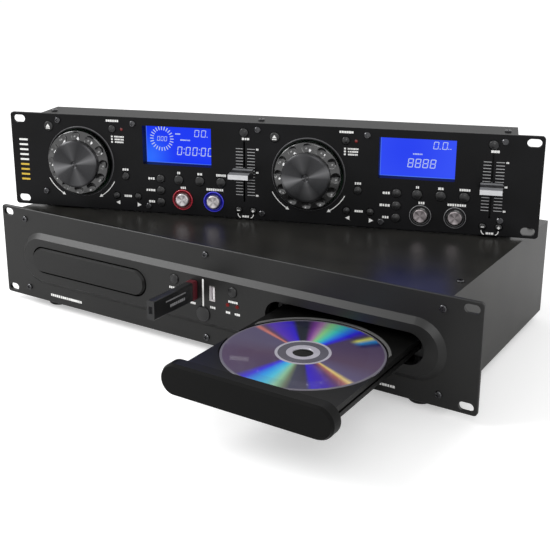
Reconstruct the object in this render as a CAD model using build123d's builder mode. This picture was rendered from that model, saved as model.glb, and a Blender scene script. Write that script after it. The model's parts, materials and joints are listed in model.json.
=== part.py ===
from build123d import *
import os
from math import cos, radians, sin

# A dual disc player in two rack-width units: the player, with two disc trays, and
# the controller, which stands turned on the player's top.
# Millimetres. +Z is up, +X is right, and the player's front faces -Y. The origin is
# on the floor, under the middle of the whole object. Places on a unit are given as
# x from its middle, depth behind its front face, and z above its panel's lower edge.

# ---- sizes that both units share ----
RACK_WIDTH = 482.6  # front panel, 19-inch rack
UNIT_HEIGHT = 88.1  # two rack units
PANEL = 3.0  # thickness of a front panel
PANEL_CORNER = 3.0
PANEL_EDGE = 0.5  # chamfer round a front panel's outer face
RACK_SLOT_X = 465.1 / 2
RACK_SLOT_Z = 76.2 / 2
RACK_SLOT = (12.0, 7.0)
SHEET = 1.2  # folded steel
SCREW_HEAD = (2.9, 1.7)  # radius, height
SCREW_EDGE = 0.7
SCREW_SHANK = (1.5, 7.0)  # radius, length
SCREW_CROSS = (3.4, 0.9, 0.9)  # arm length, arm width, depth
KEY_GAP = 0.3  # between a key and its hole
KEY_CAP_BACK = 3.3  # depth of the back of a key's cap, behind the panel
KEY_FLANGE = (0.6, 1.0)  # beyond the cap's radius, thickness
KEY_STEM_R = 1.5
KEY_TRAVEL = 1.0

# ---- the player ----
FOOT_HEIGHT = 8.0
FOOT_R = 9.5
FOOT_EDGE = 1.0
FOOT_X = 190.0
FOOT_DEPTHS = (17.5, 205.0)
PLAYER_LIFT = 7.0  # panel's lower edge above the floor
PLAYER_HALF = 217.3  # half width of the top cover
PLAYER_DEPTH = 229.7  # back edge of the top cover
PLAYER_WALL = 228.5  # outer face of the back wall
BOSS_BASE = (431.5, 50.3)  # raised field of the panel, where it leaves the panel
BOSS_FACE = (421.7, 40.5)
BOSS_PROUD = 4.0
BOSS_Z = 42.15
COVER_SCREWS = ((-210.4, 32.5), (210.4, 32.5), (-210.4, 200.0), (210.4, 200.0))
PLAYER_SCREWS = ((-211.0, 78.0), (0.0, 80.5), (211.0, 78.0), (-211.0, 10.0), (0.0, 6.5), (211.0, 10.0))

# ---- disc trays ----
DECK_X = (-130.5, 130.5)
TRAY_OPENING = (138.0, 26.0)
TRAY_Z = 42.5  # middle of the opening
TRAY_FRONT = (135.6, 23.6)
TRAY_FRONT_FACE = (133.0, 21.0)
TRAY_FRONT_PROUD = 2.5  # closed, beyond the raised field
TRAY_FRONT_DEPTH = 11.0
TRAY_TRAVEL = 133.0
TRAY_HALF = 60.5
TRAY_LENGTH = 156.0
TRAY_TOP = 47.5
TRAY_PLATE = 3.0
TRAY_RAIL = (3.0, 6.5)  # width, height below the plate
TRAY_GROOVE = (1.5, 2.0)
TRAY_SLOT_R = 18.0  # opening over the turntable and pick-up
WELL_R = 61.0
WELL_DEPTH = 1.4
WELL_STEP = (58.6, 0.3)  # inner radius of the disc's seat, further depth inside it
WELL_LIP = (2.0, 1.0)  # width, height
WELL_LIP_HALF = 56.5
DISC_R = 60.0
DISC_HOLE_R = 7.5
DISC_THICK = 1.2
DISC_CLEARANCE = 0.05
DISC_FROM_FRONT = 79.0  # disc centre behind the tray front's face
CLOSED_FACE = -(BOSS_PROUD + TRAY_FRONT_PROUD)
OPEN_FACE = CLOSED_FACE - TRAY_TRAVEL
SPINDLE_DEPTH = CLOSED_FACE + DISC_FROM_FRONT

# ---- loader under each tray ----
LOADER_FRONT = 10.0
LOADER_BACK = 168.0
LOADER_BASE_Z = 32.0
LOADER_BASE = 2.5
LOADER_WALL = (61.2, 3.5)  # inner face from the middle, thickness
LOADER_TOP = 50.0
LOADER_LIP = (4.0, 1.8)  # over the tray's edge: width, thickness
LOADER_LEDGE = (4.7, 3.2)  # under the tray's rail: width, height
LOADER_POST = (4.0, 8.0)  # radius, inset from the frame's edges
MOTOR_R = 12.0
MOTOR_HEIGHT = 10.0
SPINDLE_R = 1.0
SPINDLE_FIT = 0.06
SPINDLE_END_GAP = 0.5
TURNTABLE_R = 14.0
TURNTABLE = (40.0, 42.0)  # lower and upper z
TURNTABLE_HUB = (7.2, 43.9)  # radius, top z
TURNTABLE_HUB_EDGE = 1.0
PICKUP_REST = 26.0  # pick-up's middle behind the spindle
PICKUP_TRAVEL = 33.0
PICKUP = (26.0, 22.0, 5.8)
PICKUP_Z = 35.2
LENS = (3.0, 1.0)  # radius, height
ROD_R = 1.5
ROD_FIT = 0.06
ROD_X = 10.0
ROD_Z = 37.6
ROD_BLOCK = (28.0, 3.0)  # width, thickness
ROD_BLOCK_GAPS = (0.5, 3.5)  # before the pick-up at its inner limit, behind it at its outer one

# ---- the player's middle: keys, ports and lamps ----
SOURCE_KEY = (30.0, 54.5, 4.4, 1.8)  # x, z, radius, proud of the raised field
POWER_BUTTON = (0.0, 29.2, 6.8, 2.0)
PORT_X = 9.6
PORT_Z = 49.2
PORT = (5.7, 13.3)
PORT_WALL = 0.3
PORT_PROUD = 0.3
PORT_BACK = 3.0
PORT_TONGUE = (0.25, 1.6, 10.8)  # nearest x, furthest x, height
PORT_TONGUE_SET = 1.0  # tongue's end behind the shell's edge
LAMP_SPOTS = ((-34.5, 42.5), (-25.0, 42.5), (25.0, 42.5), (34.5, 42.5))
LAMP_R = 1.5
LAMP_GAP = 0.1
LAMP_PROUD = 0.5
STICK_PLUG = (4.5, 12.0, 12.0)
STICK_PLUG_SLOT = (1.85, 11.4, 1.025)  # width, height, x of its middle in the plug
STICK_COLLAR = (8.0, 17.0, 6.0)
STICK_BODY = (7.6, 16.4)
STICK_EDGE = 1.5
STICK_FACE = -61.0  # depth of the far end
STICK_NOTCH = (4.0, 6.5, 3.5)
STICK_CLEARANCE = 0.5

# ---- boards inside the player ----
BOARD = 1.6
BOARD_Z = 12.0  # underside of the level boards
BOARD_POST = (3.0, 6.0)  # radius, inset from the board's edges
SWITCH = (6.0, 2.5)  # side, height
SWITCH_GAP = 0.2
KEY_BOARD_DEPTH = 16.0
KEY_BOARD = (90.0, 68.0)
SERVO_BOARD = (110.0, 150.0, 60.0)  # width, length, depth of its front edge
CHIPS = ((-18.0, 150.0), (22.0, 174.0))
CHIP = (24.0, 3.0)  # side, height
SUPPLY_BOARD = (86.0, 32.0, 174.0)
TRANSFORMER = (34.0, 26.0, 26.0)
TRANSFORMER_SPOT = (18.0, 190.0)  # x from the inlet, depth

# ---- the player's back ----
PHONO_SPOTS = ((120.0, 36.0), (120.0, 54.0), (160.0, 36.0), (160.0, 54.0))
PHONO_R = 4.15
PHONO_REACH = 9.5
PHONO_BLOCK = (14.0, 9.0)  # side, depth inside the wall
PHONO_FLANGE = (5.5, 1.0)  # radius, thickness
PHONO_BORE = (1.6, 8.0)  # radius, depth
LINK_X = (10.0, 60.0)
LINK_Z = 45.0
LINK_SHELL = (17.0, 8.5)
LINK_CORNER = 2.0
LINK_FLANGE = (30.0, 12.5, 0.8)
LINK_REACH = 5.5
LINK_INSIDE = 8.0
LINK_PIN = (0.6, 2.8, 4.0)  # hole radius, spacing, depth
INLET_X = -165.0
INLET_Z = 40.0
INLET_BODY = (27.5, 20.0)
INLET_FLANGE = (40.0, 24.0, 1.5)
INLET_CORNERS = (3.0, 2.5)  # flange, recess
INLET_RECESS = (24.0, 16.0, 16.0)
INLET_DEPTH = 19.0
INLET_PIN = (2.0, 6.0, 9.0)
INLET_PIN_SPOTS = ((-7.0, -1.5), (0.0, 2.5), (7.0, -1.5))

# ---- the controller ----
CONTROLLER_TURN = 18.85  # degrees, its left end forward
CONTROLLER_PLACE = (-0.24, 85.3, 89.6)  # its panel's lower middle, on the player
CONTROLLER_HALF = 219.5
CONTROLLER_DEPTH = 54.6
CONTROLLER_WALL = 53.4
CONTROLLER_TOP = 85.0
CONTROLLER_FLOOR = 2.0
CONTROLLER_COVER_SCREWS = ((-211.0, 30.0), (-7.0, 30.0), (211.0, 30.0))
CONTROLLER_TOP_SCREWS = ((-193.5, 82.0), (-120.0, 82.0), (-3.0, 82.0), (94.0, 82.0), (209.0, 82.0))
CONTROLLER_LOW_SCREWS = ((-107.0, 6.0), (1.0, 6.0), (108.0, 6.0))
CONTROLLER_END_SCREWS = ((-209.0, 14.0), (209.0, 14.0))
TAB_WIDTH = 6.0
LOW_TAB = 9.0  # height of the tabs behind the lower screws
TOP_TAB = 5.5
PAD_X = 200.0
PAD_DEPTHS = (13.0, 43.0)
PAD_R = 8.0
PAD_REACH = 1.45  # below the panel's lower edge
DECK_PITCH = 215.5  # second deck's controls from the first deck's
BOARD_DEPTH = 12.5
BOARD_TOP = 80.0
BOARD_HALF = 212.0

# ---- controls of the first deck: x, z, radius, proud ----
ROUND_KEYS = {
    "eject_key": (-203.0, 76.3, 4.5, 1.6),
    "jog_mode_key": (-140.0, 76.5, 3.5, 1.8),
    "plus_ten_key": (-128.5, 33.0, 3.7, 1.8),
    "time_key": (-94.5, 32.5, 4.0, 1.8),
    "single_key": (-94.5, 21.5, 4.0, 1.8),
    "program_key": (-94.5, 10.5, 4.0, 1.8),
    "loop_in_key": (-77.0, 32.3, 4.5, 1.8),
    "loop_out_key": (-57.0, 32.3, 4.5, 1.8),
    "reloop_key": (-37.0, 32.3, 4.5, 1.8),
    "pitch_key": (-15.5, 79.0, 4.1, 1.8),
    "cue_button": (-73.5, 14.2, 7.0, 3.5),
    "play_button": (-44.0, 14.2, 7.0, 3.5),
}
LIT_BUTTONS = ("cue_button", "play_button")
# Key pairs: x of the pair's middle, z, half spacing, cap radius.
KEY_PAIRS = {
    "track_keys": (-127.5, 14.2, 10.5, 3.2),
    "bend_keys": (-13.75, 8.0, 6.75, 2.9),
}
PAIR_GAP = 0.5
PAIR_PROUD = 1.6
PAIR_BAR = (4.6, 2.0, 4.0)  # front face's depth, thickness, height
PAIR_BAR_END = 1.5  # beyond each key's middle
PAIR_PIVOT = (1.0, 0.2)  # width of the ridge, gap in front of it
RING_R = 9.5
RING_PROUD = 1.5
RING_FLANGE = (10.4, 0.8)  # radius, thickness
RING_GAP = 0.1
KEY_ROUNDING = 1.5  # the caps are domed
BUTTON_ROUNDING = 1.2
JOG_LAMP = (-131.0, 76.5)
JOG_LAMP_FLANGE = (2.3, 1.0)  # radius, thickness
JOG = (-172.5, 44.5)
JOG_HOLE_R = 31.2
JOG_BEZEL_R = 33.0
JOG_BEZEL_PROUD = 1.0
JOG_BEZEL_SLOPE = 35.0  # degrees, of its outer edge
JOG_WHEEL_R = 29.8
JOG_RIM = -5.5  # depth where the rim's rounding starts
JOG_FACE = (28.4, -7.0)  # radius and depth of the dimpled face's outer edge
JOG_CAP_R = 21.7
JOG_CAP_FOOT = -8.6
JOG_CAP_EDGE = -13.8
JOG_CAP_FACE = -15.0
JOG_CAP_BEVEL = 2.5
JOG_CAP_CROWN = 0.4  # fall of the cap's face from its middle
JOG_BACK = 4.0
JOG_SHAFT_R = 3.0
JOG_SHAFT_END = 11.5
JOG_SHAFT_FIT = 0.06
JOG_BUSH = (9.0, 5.0)  # radius, height
JOG_DIMPLES = 12
JOG_DIMPLE_CIRCLE = 25.4
JOG_DIMPLE = (4.0, 1.3)  # radius, depth
DISPLAY = (-78.5, 63.25, 65.0, 35.5)  # x, z, width, height
DISPLAY_RIM = (1.75, 10.0)  # wall, depth of its back
FADER_X = -15.3
FADER_Z = 43.5
FADER_TRAVEL = 24.0
FADER_STEM = (1.0, 7.0, 7.0)  # width, height, reach behind the panel's front
FADER_SLOT = (1.6, 2 * FADER_TRAVEL + FADER_STEM[1] + 1.0)
FADER_KNOB_BASE = (18.4, 7.2)
FADER_KNOB_FACE = (18.2, 4.2)
FADER_KNOB = (3.0, 22.0)  # proud at its back and at its face
FADER_BODY = (9.0, 60.0)
FADER_CHANNEL = (1.0, 6.0)  # wider than the slot by, depth


# ---- planes and small helpers ----
PANEL_Y = -(PLAYER_WALL + PHONO_REACH + OPEN_FACE) / 2
PLAYER = Plane(origin=(0, PANEL_Y, PLAYER_LIFT))
TURN_X = (cos(radians(CONTROLLER_TURN)), sin(radians(CONTROLLER_TURN)), 0)
CONTROLLER = Plane(origin=PLAYER.from_local_coords(CONTROLLER_PLACE), x_dir=TURN_X, z_dir=(0, 0, 1))
DECK_SHIFTS = (0.0, DECK_PITCH)

# Rectangles in a sketch that grow up or down from one edge's middle.
UP = (Align.CENTER, Align.MIN)
DOWN = (Align.CENTER, Align.MAX)


def front(unit, x=0.0, depth=0.0, z=0.0):
    """Sketch plane that faces out of a unit's front, with its y upwards."""
    return Plane(origin=unit.from_local_coords((x, depth, z)), x_dir=unit.x_dir, z_dir=-unit.y_dir)


def level(unit, x=0.0, depth=0.0, z=0.0):
    """Level sketch plane, with its y towards the unit's back."""
    return Plane(origin=unit.from_local_coords((x, depth, z)), x_dir=unit.x_dir, z_dir=unit.z_dir)


def outward(unit):
    """Axis that points out of a unit's front."""
    return Axis(unit.origin, -unit.y_dir)


def save(piece, name):
    """Label a finished piece and write its file."""
    piece.part.label = name
    export_step(piece.part, f"parts/{name}.step")


def mirrored(spots):
    """The same spots on both sides of the middle."""
    return [(side * x, z) for side in (-1, 1) for x, z in spots]


os.makedirs("parts", exist_ok=True)

# ---- pan-head screw, used as groups ----
with BuildPart() as pan_screw:
    with BuildSketch():
        Circle(SCREW_HEAD[0])
    extrude(amount=SCREW_HEAD[1])
    chamfer(pan_screw.edges().filter_by(GeomType.CIRCLE).sort_by(Axis.Z)[-1], SCREW_EDGE)
    with BuildSketch():
        Circle(SCREW_SHANK[0])
    extrude(amount=-SCREW_SHANK[1])
    with BuildSketch(Plane.XY.offset(SCREW_HEAD[1])):
        Rectangle(SCREW_CROSS[0], SCREW_CROSS[1])
        Rectangle(SCREW_CROSS[1], SCREW_CROSS[0])
    extrude(amount=-SCREW_CROSS[2], mode=Mode.SUBTRACT)

# ==== player: casing ====
with BuildPart() as player_front_panel:
    with BuildSketch(front(PLAYER, 0, PANEL, UNIT_HEIGHT / 2)):
        RectangleRounded(RACK_WIDTH, UNIT_HEIGHT, PANEL_CORNER)
        with GridLocations(2 * RACK_SLOT_X, 2 * RACK_SLOT_Z, 2, 2):
            SlotOverall(*RACK_SLOT, mode=Mode.SUBTRACT)
    extrude(amount=PANEL)
    panel_face = player_front_panel.faces().sort_by(outward(PLAYER))[-1]
    chamfer(panel_face.outer_wire().edges(), PANEL_EDGE)
    # The raised field has sloping sides and round ends.
    with BuildSketch(front(PLAYER, 0, 0, BOSS_Z)):
        SlotOverall(*BOSS_BASE)
    with BuildSketch(front(PLAYER, 0, -BOSS_PROUD, BOSS_Z)):
        SlotOverall(*BOSS_FACE)
    loft()
    with BuildSketch(front(PLAYER, 0, PANEL, 0)):
        with Locations(*[(x, TRAY_Z) for x in DECK_X]):
            SlotOverall(*TRAY_OPENING)
        with Locations(*mirrored([SOURCE_KEY[:2]])):
            Circle(SOURCE_KEY[2] + KEY_GAP)
        with Locations(POWER_BUTTON[:2]):
            Circle(POWER_BUTTON[2] + KEY_GAP)
        with Locations(*mirrored([(PORT_X, PORT_Z)])):
            Rectangle(*PORT)
        with Locations(*LAMP_SPOTS):
            Circle(LAMP_R + LAMP_GAP)
        with Locations(*PLAYER_SCREWS):
            Circle(SCREW_SHANK[0])
    extrude(amount=PANEL + BOSS_PROUD, mode=Mode.SUBTRACT)
save(player_front_panel, "player_front_panel")

CHASSIS_HALF = PLAYER_HALF - SHEET
CHASSIS_LOW = 1.0
CHASSIS_HIGH = UNIT_HEIGHT - SHEET
CHASSIS_FLANGE = 13.0
FRONT_WINDOW = (100.0, 60.0, 41.0)  # width, height, z of its middle
TRAY_WINDOW_MARGIN = 6.0
with BuildPart() as player_chassis:
    # Floor, walls and the flanges under the top cover, as one folded sheet.
    with BuildSketch(level(PLAYER, 0, PANEL, CHASSIS_LOW)):
        Rectangle(2 * CHASSIS_HALF, PLAYER_WALL - PANEL, align=UP)
    extrude(amount=CHASSIS_HIGH - CHASSIS_LOW)
    with BuildSketch(level(PLAYER, 0, PANEL + SHEET, CHASSIS_LOW + SHEET)):
        Rectangle(2 * (CHASSIS_HALF - SHEET), PLAYER_WALL - PANEL - 2 * SHEET, align=UP)
    extrude(amount=CHASSIS_HIGH - CHASSIS_LOW - 2 * SHEET, mode=Mode.SUBTRACT)
    with BuildSketch(level(PLAYER, 0, PANEL + SHEET, CHASSIS_HIGH)):
        Rectangle(2 * (CHASSIS_HALF - CHASSIS_FLANGE), PLAYER_WALL - PANEL - 2 * SHEET, align=UP)
    extrude(amount=-SHEET, mode=Mode.SUBTRACT)
    # Openings in the front wall for the trays and the middle group.
    with BuildSketch(front(PLAYER, 0, PANEL + SHEET, 0)):
        with Locations(*[(x, TRAY_Z) for x in DECK_X]):
            SlotOverall(TRAY_OPENING[0] + TRAY_WINDOW_MARGIN, TRAY_OPENING[1] + TRAY_WINDOW_MARGIN)
        with Locations((0, FRONT_WINDOW[2])):
            Rectangle(FRONT_WINDOW[0], FRONT_WINDOW[1])
        with Locations(*PLAYER_SCREWS):
            Circle(SCREW_SHANK[0])
    extrude(amount=SHEET, mode=Mode.SUBTRACT)
    # Openings in the back wall for the sockets.
    with BuildSketch(front(PLAYER, 0, PLAYER_WALL, 0)):
        with Locations(*PHONO_SPOTS):
            Circle(PHONO_R)
        with Locations(*[(x, LINK_Z) for x in LINK_X]):
            RectangleRounded(*LINK_SHELL, LINK_CORNER)
        with Locations((INLET_X, INLET_Z)):
            Rectangle(*INLET_BODY)
    extrude(amount=SHEET, mode=Mode.SUBTRACT)
    with BuildSketch(level(PLAYER, 0, 0, CHASSIS_HIGH)):
        with Locations(*COVER_SCREWS):
            Circle(SCREW_SHANK[0])
    extrude(amount=-SHEET, mode=Mode.SUBTRACT)
save(player_chassis, "player_chassis")

with BuildPart() as player_top_cover:
    with BuildSketch(level(PLAYER, 0, PANEL, CHASSIS_LOW)):
        Rectangle(2 * PLAYER_HALF, PLAYER_DEPTH - PANEL, align=UP)
    extrude(amount=UNIT_HEIGHT - CHASSIS_LOW)
    with BuildSketch(level(PLAYER, 0, PANEL, CHASSIS_LOW)):
        Rectangle(2 * CHASSIS_HALF, PLAYER_DEPTH - PANEL, align=UP)
    extrude(amount=CHASSIS_HIGH - CHASSIS_LOW, mode=Mode.SUBTRACT)
    with BuildSketch(level(PLAYER, 0, 0, UNIT_HEIGHT)):
        with Locations(*COVER_SCREWS):
            Circle(SCREW_SHANK[0])
    extrude(amount=-SHEET, mode=Mode.SUBTRACT)
save(player_top_cover, "player_top_cover")

with BuildPart() as player_feet:
    for foot_depth in FOOT_DEPTHS:
        with BuildSketch(Plane(origin=(0, PANEL_Y + foot_depth, 0))):
            with Locations((-FOOT_X, 0), (FOOT_X, 0)):
                Circle(FOOT_R)
        extrude(amount=FOOT_HEIGHT)
    chamfer(player_feet.edges().filter_by(GeomType.CIRCLE).group_by(Axis.Z)[0], FOOT_EDGE)
save(player_feet, "player_feet")

with BuildPart() as player_screws:
    with Locations(*[front(PLAYER, x, 0, z) for x, z in PLAYER_SCREWS]):
        add(pan_screw.part)
    with Locations(*[level(PLAYER, x, depth, UNIT_HEIGHT) for x, depth in COVER_SCREWS]):
        add(pan_screw.part)
save(player_screws, "player_screws")

# ==== player: disc trays ====
PLATE_LOW = TRAY_TOP - TRAY_PLATE
for deck, (deck_x, face) in enumerate(zip(DECK_X, (CLOSED_FACE, OPEN_FACE)), start=1):
    back_of_front = face + TRAY_FRONT_DEPTH
    disc_depth = face + DISC_FROM_FRONT
    with BuildPart() as tray_front:
        with BuildSketch(front(PLAYER, deck_x, back_of_front, TRAY_Z)):
            SlotOverall(*TRAY_FRONT)
        extrude(amount=TRAY_FRONT_DEPTH - TRAY_FRONT_PROUD)
        with BuildSketch(front(PLAYER, deck_x, face + TRAY_FRONT_PROUD, TRAY_Z)):
            SlotOverall(*TRAY_FRONT)
        with BuildSketch(front(PLAYER, deck_x, face, TRAY_Z)):
            SlotOverall(*TRAY_FRONT_FACE)
        loft()
    save(tray_front, f"tray_front_{deck}")

    with BuildPart() as tray:
        with BuildSketch(level(PLAYER, deck_x, back_of_front, PLATE_LOW)):
            Rectangle(2 * TRAY_HALF, TRAY_LENGTH, align=UP)
        extrude(amount=TRAY_PLATE)
        # Side rails, grooved along their outer faces.
        with BuildSketch(level(PLAYER, deck_x, back_of_front, PLATE_LOW)):
            for side in (-1, 1):
                with Locations((side * (TRAY_HALF - TRAY_RAIL[0] / 2), 0)):
                    Rectangle(TRAY_RAIL[0], TRAY_LENGTH, align=UP)
        extrude(amount=-TRAY_RAIL[1])
        with BuildSketch(level(PLAYER, deck_x, back_of_front, PLATE_LOW - TRAY_GROOVE[1] / 2)):
            for side in (-1, 1):
                with Locations((side * (TRAY_HALF - TRAY_GROOVE[0] / 2), 0)):
                    Rectangle(TRAY_GROOVE[0], TRAY_LENGTH, align=UP)
        extrude(amount=-TRAY_GROOVE[1], mode=Mode.SUBTRACT)
        # Raised lip on the back half of the well's edge, short of the loader's lips.
        with BuildSketch(level(PLAYER, deck_x, disc_depth, TRAY_TOP)):
            Circle(WELL_R + WELL_LIP[0])
            Circle(WELL_R, mode=Mode.SUBTRACT)
            Rectangle(2 * WELL_LIP_HALF, WELL_R + WELL_LIP[0], align=UP, mode=Mode.INTERSECT)
        extrude(amount=WELL_LIP[1])
        # The well, its seat for the disc's edge, and the slot over the turntable.
        with BuildSketch(level(PLAYER, deck_x, disc_depth, TRAY_TOP)):
            Circle(WELL_R)
        extrude(amount=-WELL_DEPTH, mode=Mode.SUBTRACT)
        with BuildSketch(level(PLAYER, deck_x, disc_depth, TRAY_TOP - WELL_DEPTH)):
            Circle(WELL_STEP[0])
        extrude(amount=-WELL_STEP[1], mode=Mode.SUBTRACT)
        with BuildSketch(level(PLAYER, deck_x, disc_depth, TRAY_TOP)):
            Circle(TRAY_SLOT_R)
            Rectangle(2 * TRAY_SLOT_R, WELL_R, align=UP)
        extrude(amount=-TRAY_PLATE, mode=Mode.SUBTRACT)
    save(tray, f"tray_{deck}")

with BuildPart() as disc:
    disc_bottom = TRAY_TOP - WELL_DEPTH + DISC_CLEARANCE
    with BuildSketch(level(PLAYER, DECK_X[1], OPEN_FACE + DISC_FROM_FRONT, disc_bottom)):
        Circle(DISC_R)
        Circle(DISC_HOLE_R, mode=Mode.SUBTRACT)
    extrude(amount=DISC_THICK)
save(disc, "disc")

# ==== player: loaders, turntables and pick-ups ====
FLOOR_TOP = CHASSIS_LOW + SHEET
BASE_TOP = LOADER_BASE_Z + LOADER_BASE
LOADER_LENGTH = LOADER_BACK - LOADER_FRONT
LOADER_HALF = LOADER_WALL[0] + LOADER_WALL[1]
PICKUP_DEPTH = SPINDLE_DEPTH + PICKUP_REST
ROD_BLOCKS = (
    PICKUP_DEPTH - PICKUP[1] / 2 - ROD_BLOCK_GAPS[0] - ROD_BLOCK[1],
    PICKUP_DEPTH + PICKUP[1] / 2 + PICKUP_TRAVEL + ROD_BLOCK_GAPS[1],
)
ROD_COVER = 0.5  # block above its rods
with BuildPart() as loader_frames:
    for deck_x in DECK_X:
        with BuildSketch(level(PLAYER, deck_x, LOADER_FRONT, LOADER_BASE_Z)):
            Rectangle(2 * LOADER_HALF, LOADER_LENGTH, align=UP)
        extrude(amount=LOADER_BASE)
        with BuildSketch(level(PLAYER, deck_x, LOADER_FRONT, BASE_TOP)):
            for side in (-1, 1):
                with Locations((side * (LOADER_WALL[0] + LOADER_WALL[1] / 2), 0)):
                    Rectangle(LOADER_WALL[1], LOADER_LENGTH, align=UP)
        extrude(amount=LOADER_TOP - BASE_TOP)
        # Lips over the tray's edges and ledges under its rails.
        with BuildSketch(level(PLAYER, deck_x, LOADER_FRONT, LOADER_TOP)):
            for side in (-1, 1):
                with Locations((side * (LOADER_WALL[0] - LOADER_LIP[0] / 2), 0)):
                    Rectangle(LOADER_LIP[0], LOADER_LENGTH, align=UP)
        extrude(amount=-LOADER_LIP[1])
        with BuildSketch(level(PLAYER, deck_x, LOADER_FRONT, BASE_TOP)):
            for side in (-1, 1):
                with Locations((side * (LOADER_WALL[0] - LOADER_LEDGE[0] / 2), 0)):
                    Rectangle(LOADER_LEDGE[0], LOADER_LENGTH, align=UP)
        extrude(amount=LOADER_LEDGE[1])
        # Posts to the floor, and the motor under the turntable.
        with BuildSketch(level(PLAYER, deck_x, (LOADER_FRONT + LOADER_BACK) / 2, LOADER_BASE_Z)):
            with GridLocations(
                2 * (LOADER_HALF - LOADER_POST[1]), LOADER_LENGTH - 2 * LOADER_POST[1], 2, 2
            ):
                Circle(LOADER_POST[0])
        extrude(amount=-(LOADER_BASE_Z - FLOOR_TOP))
        with BuildSketch(level(PLAYER, deck_x, SPINDLE_DEPTH, LOADER_BASE_Z)):
            Circle(MOTOR_R)
        extrude(amount=-MOTOR_HEIGHT)
        with BuildSketch(level(PLAYER, deck_x, SPINDLE_DEPTH, BASE_TOP)):
            Circle(SPINDLE_R + SPINDLE_FIT)
        extrude(amount=-MOTOR_HEIGHT / 2, mode=Mode.SUBTRACT)
        # Blocks that hold the pick-up's two rods.
        for block_depth in ROD_BLOCKS:
            with BuildSketch(level(PLAYER, deck_x, block_depth, BASE_TOP)):
                Rectangle(*ROD_BLOCK, align=UP)
            extrude(amount=ROD_Z + ROD_R + ROD_COVER - BASE_TOP)
        with BuildSketch(front(PLAYER, deck_x, ROD_BLOCKS[1], ROD_Z)):
            with Locations((-ROD_X, 0), (ROD_X, 0)):
                Circle(ROD_R)
        extrude(amount=ROD_BLOCKS[1] - ROD_BLOCKS[0] - ROD_BLOCK[1])
save(loader_frames, "loader_frames")

SPINDLE_LOW = BASE_TOP - MOTOR_HEIGHT / 2 + SPINDLE_END_GAP
for deck, deck_x in enumerate(DECK_X, start=1):
    with BuildPart() as spindle:
        with BuildSketch(level(PLAYER, deck_x, SPINDLE_DEPTH, SPINDLE_LOW)):
            Circle(SPINDLE_R)
        extrude(amount=TURNTABLE[0] - SPINDLE_LOW)
        with BuildSketch(level(PLAYER, deck_x, SPINDLE_DEPTH, TURNTABLE[0])):
            Circle(TURNTABLE_R)
        extrude(amount=TURNTABLE[1] - TURNTABLE[0])
        with BuildSketch(level(PLAYER, deck_x, SPINDLE_DEPTH, TURNTABLE[1])):
            Circle(TURNTABLE_HUB[0])
        extrude(amount=TURNTABLE_HUB[1] - TURNTABLE[1])
        chamfer(spindle.edges().filter_by(GeomType.CIRCLE).sort_by(Axis.Z)[-1], TURNTABLE_HUB_EDGE)
    save(spindle, f"spindle_{deck}")

    with BuildPart() as pickup:
        with BuildSketch(level(PLAYER, deck_x, PICKUP_DEPTH, PICKUP_Z)):
            Rectangle(PICKUP[0], PICKUP[1])
        extrude(amount=PICKUP[2])
        with BuildSketch(level(PLAYER, deck_x, PICKUP_DEPTH, PICKUP_Z + PICKUP[2])):
            Circle(LENS[0])
        extrude(amount=LENS[1])
        with BuildSketch(front(PLAYER, deck_x, PICKUP_DEPTH - PICKUP[1] / 2, ROD_Z)):
            with Locations((-ROD_X, 0), (ROD_X, 0)):
                Circle(ROD_R + ROD_FIT)
        extrude(amount=-PICKUP[1], mode=Mode.SUBTRACT)
    save(pickup, f"pickup_{deck}")


# ==== keys, made alike on both units ====
def push_key(unit, x, z, radius, proud, flange_depth, stem_end, rounding):
    """A round key: its cap in the panel, a flange behind it and a stem to its switch."""
    with BuildPart() as key:
        with BuildSketch(front(unit, x, -proud, z)):
            Circle(radius)
        extrude(amount=-(proud + flange_depth))
        fillet(key.edges().filter_by(GeomType.CIRCLE).sort_by(outward(unit))[-1], rounding)
        with BuildSketch(front(unit, x, flange_depth, z)):
            Circle(radius + KEY_FLANGE[0])
        extrude(amount=-KEY_FLANGE[1])
        with BuildSketch(front(unit, x, flange_depth + KEY_FLANGE[1], z)):
            Circle(KEY_STEM_R)
        extrude(amount=-(stem_end - flange_depth - KEY_FLANGE[1]))
    return key


# ==== player: keys, ports, boards and memory stick ====
PLAYER_STEM_END = KEY_BOARD_DEPTH - SWITCH[1] - KEY_TRAVEL - SWITCH_GAP
for number, side in enumerate((-1, 1), start=1):
    key_x, key_z, key_r, key_proud = SOURCE_KEY
    source_key = push_key(
        PLAYER, side * key_x, key_z, key_r, BOSS_PROUD + key_proud, KEY_CAP_BACK, PLAYER_STEM_END,
        KEY_ROUNDING,
    )
    save(source_key, f"source_key_{number}")
button_x, button_z, button_r, button_proud = POWER_BUTTON
power_button = push_key(
    PLAYER, button_x, button_z, button_r, BOSS_PROUD + button_proud, KEY_CAP_BACK, PLAYER_STEM_END,
    KEY_ROUNDING,
)
save(power_button, "power_button")

with BuildPart() as usb_sockets:
    for side in (-1, 1):
        socket_face = -BOSS_PROUD - PORT_PROUD
        with BuildSketch(front(PLAYER, side * PORT_X, socket_face, PORT_Z)):
            Rectangle(*PORT)
        extrude(amount=-(KEY_BOARD_DEPTH - socket_face))
        with BuildSketch(front(PLAYER, side * PORT_X, socket_face, PORT_Z)):
            Rectangle(PORT[0] - 2 * PORT_WALL, PORT[1] - 2 * PORT_WALL)
            with Locations(((PORT_TONGUE[0] + PORT_TONGUE[1]) / 2, 0)):
                Rectangle(PORT_TONGUE[1] - PORT_TONGUE[0], PORT_TONGUE[2], mode=Mode.SUBTRACT)
        extrude(amount=-(KEY_BOARD_DEPTH - PORT_BACK - socket_face), mode=Mode.SUBTRACT)
        with BuildSketch(front(PLAYER, side * PORT_X, socket_face, PORT_Z)):
            Rectangle(PORT[0] - 2 * PORT_WALL, PORT[1] - 2 * PORT_WALL)
        extrude(amount=-PORT_TONGUE_SET, mode=Mode.SUBTRACT)
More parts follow.
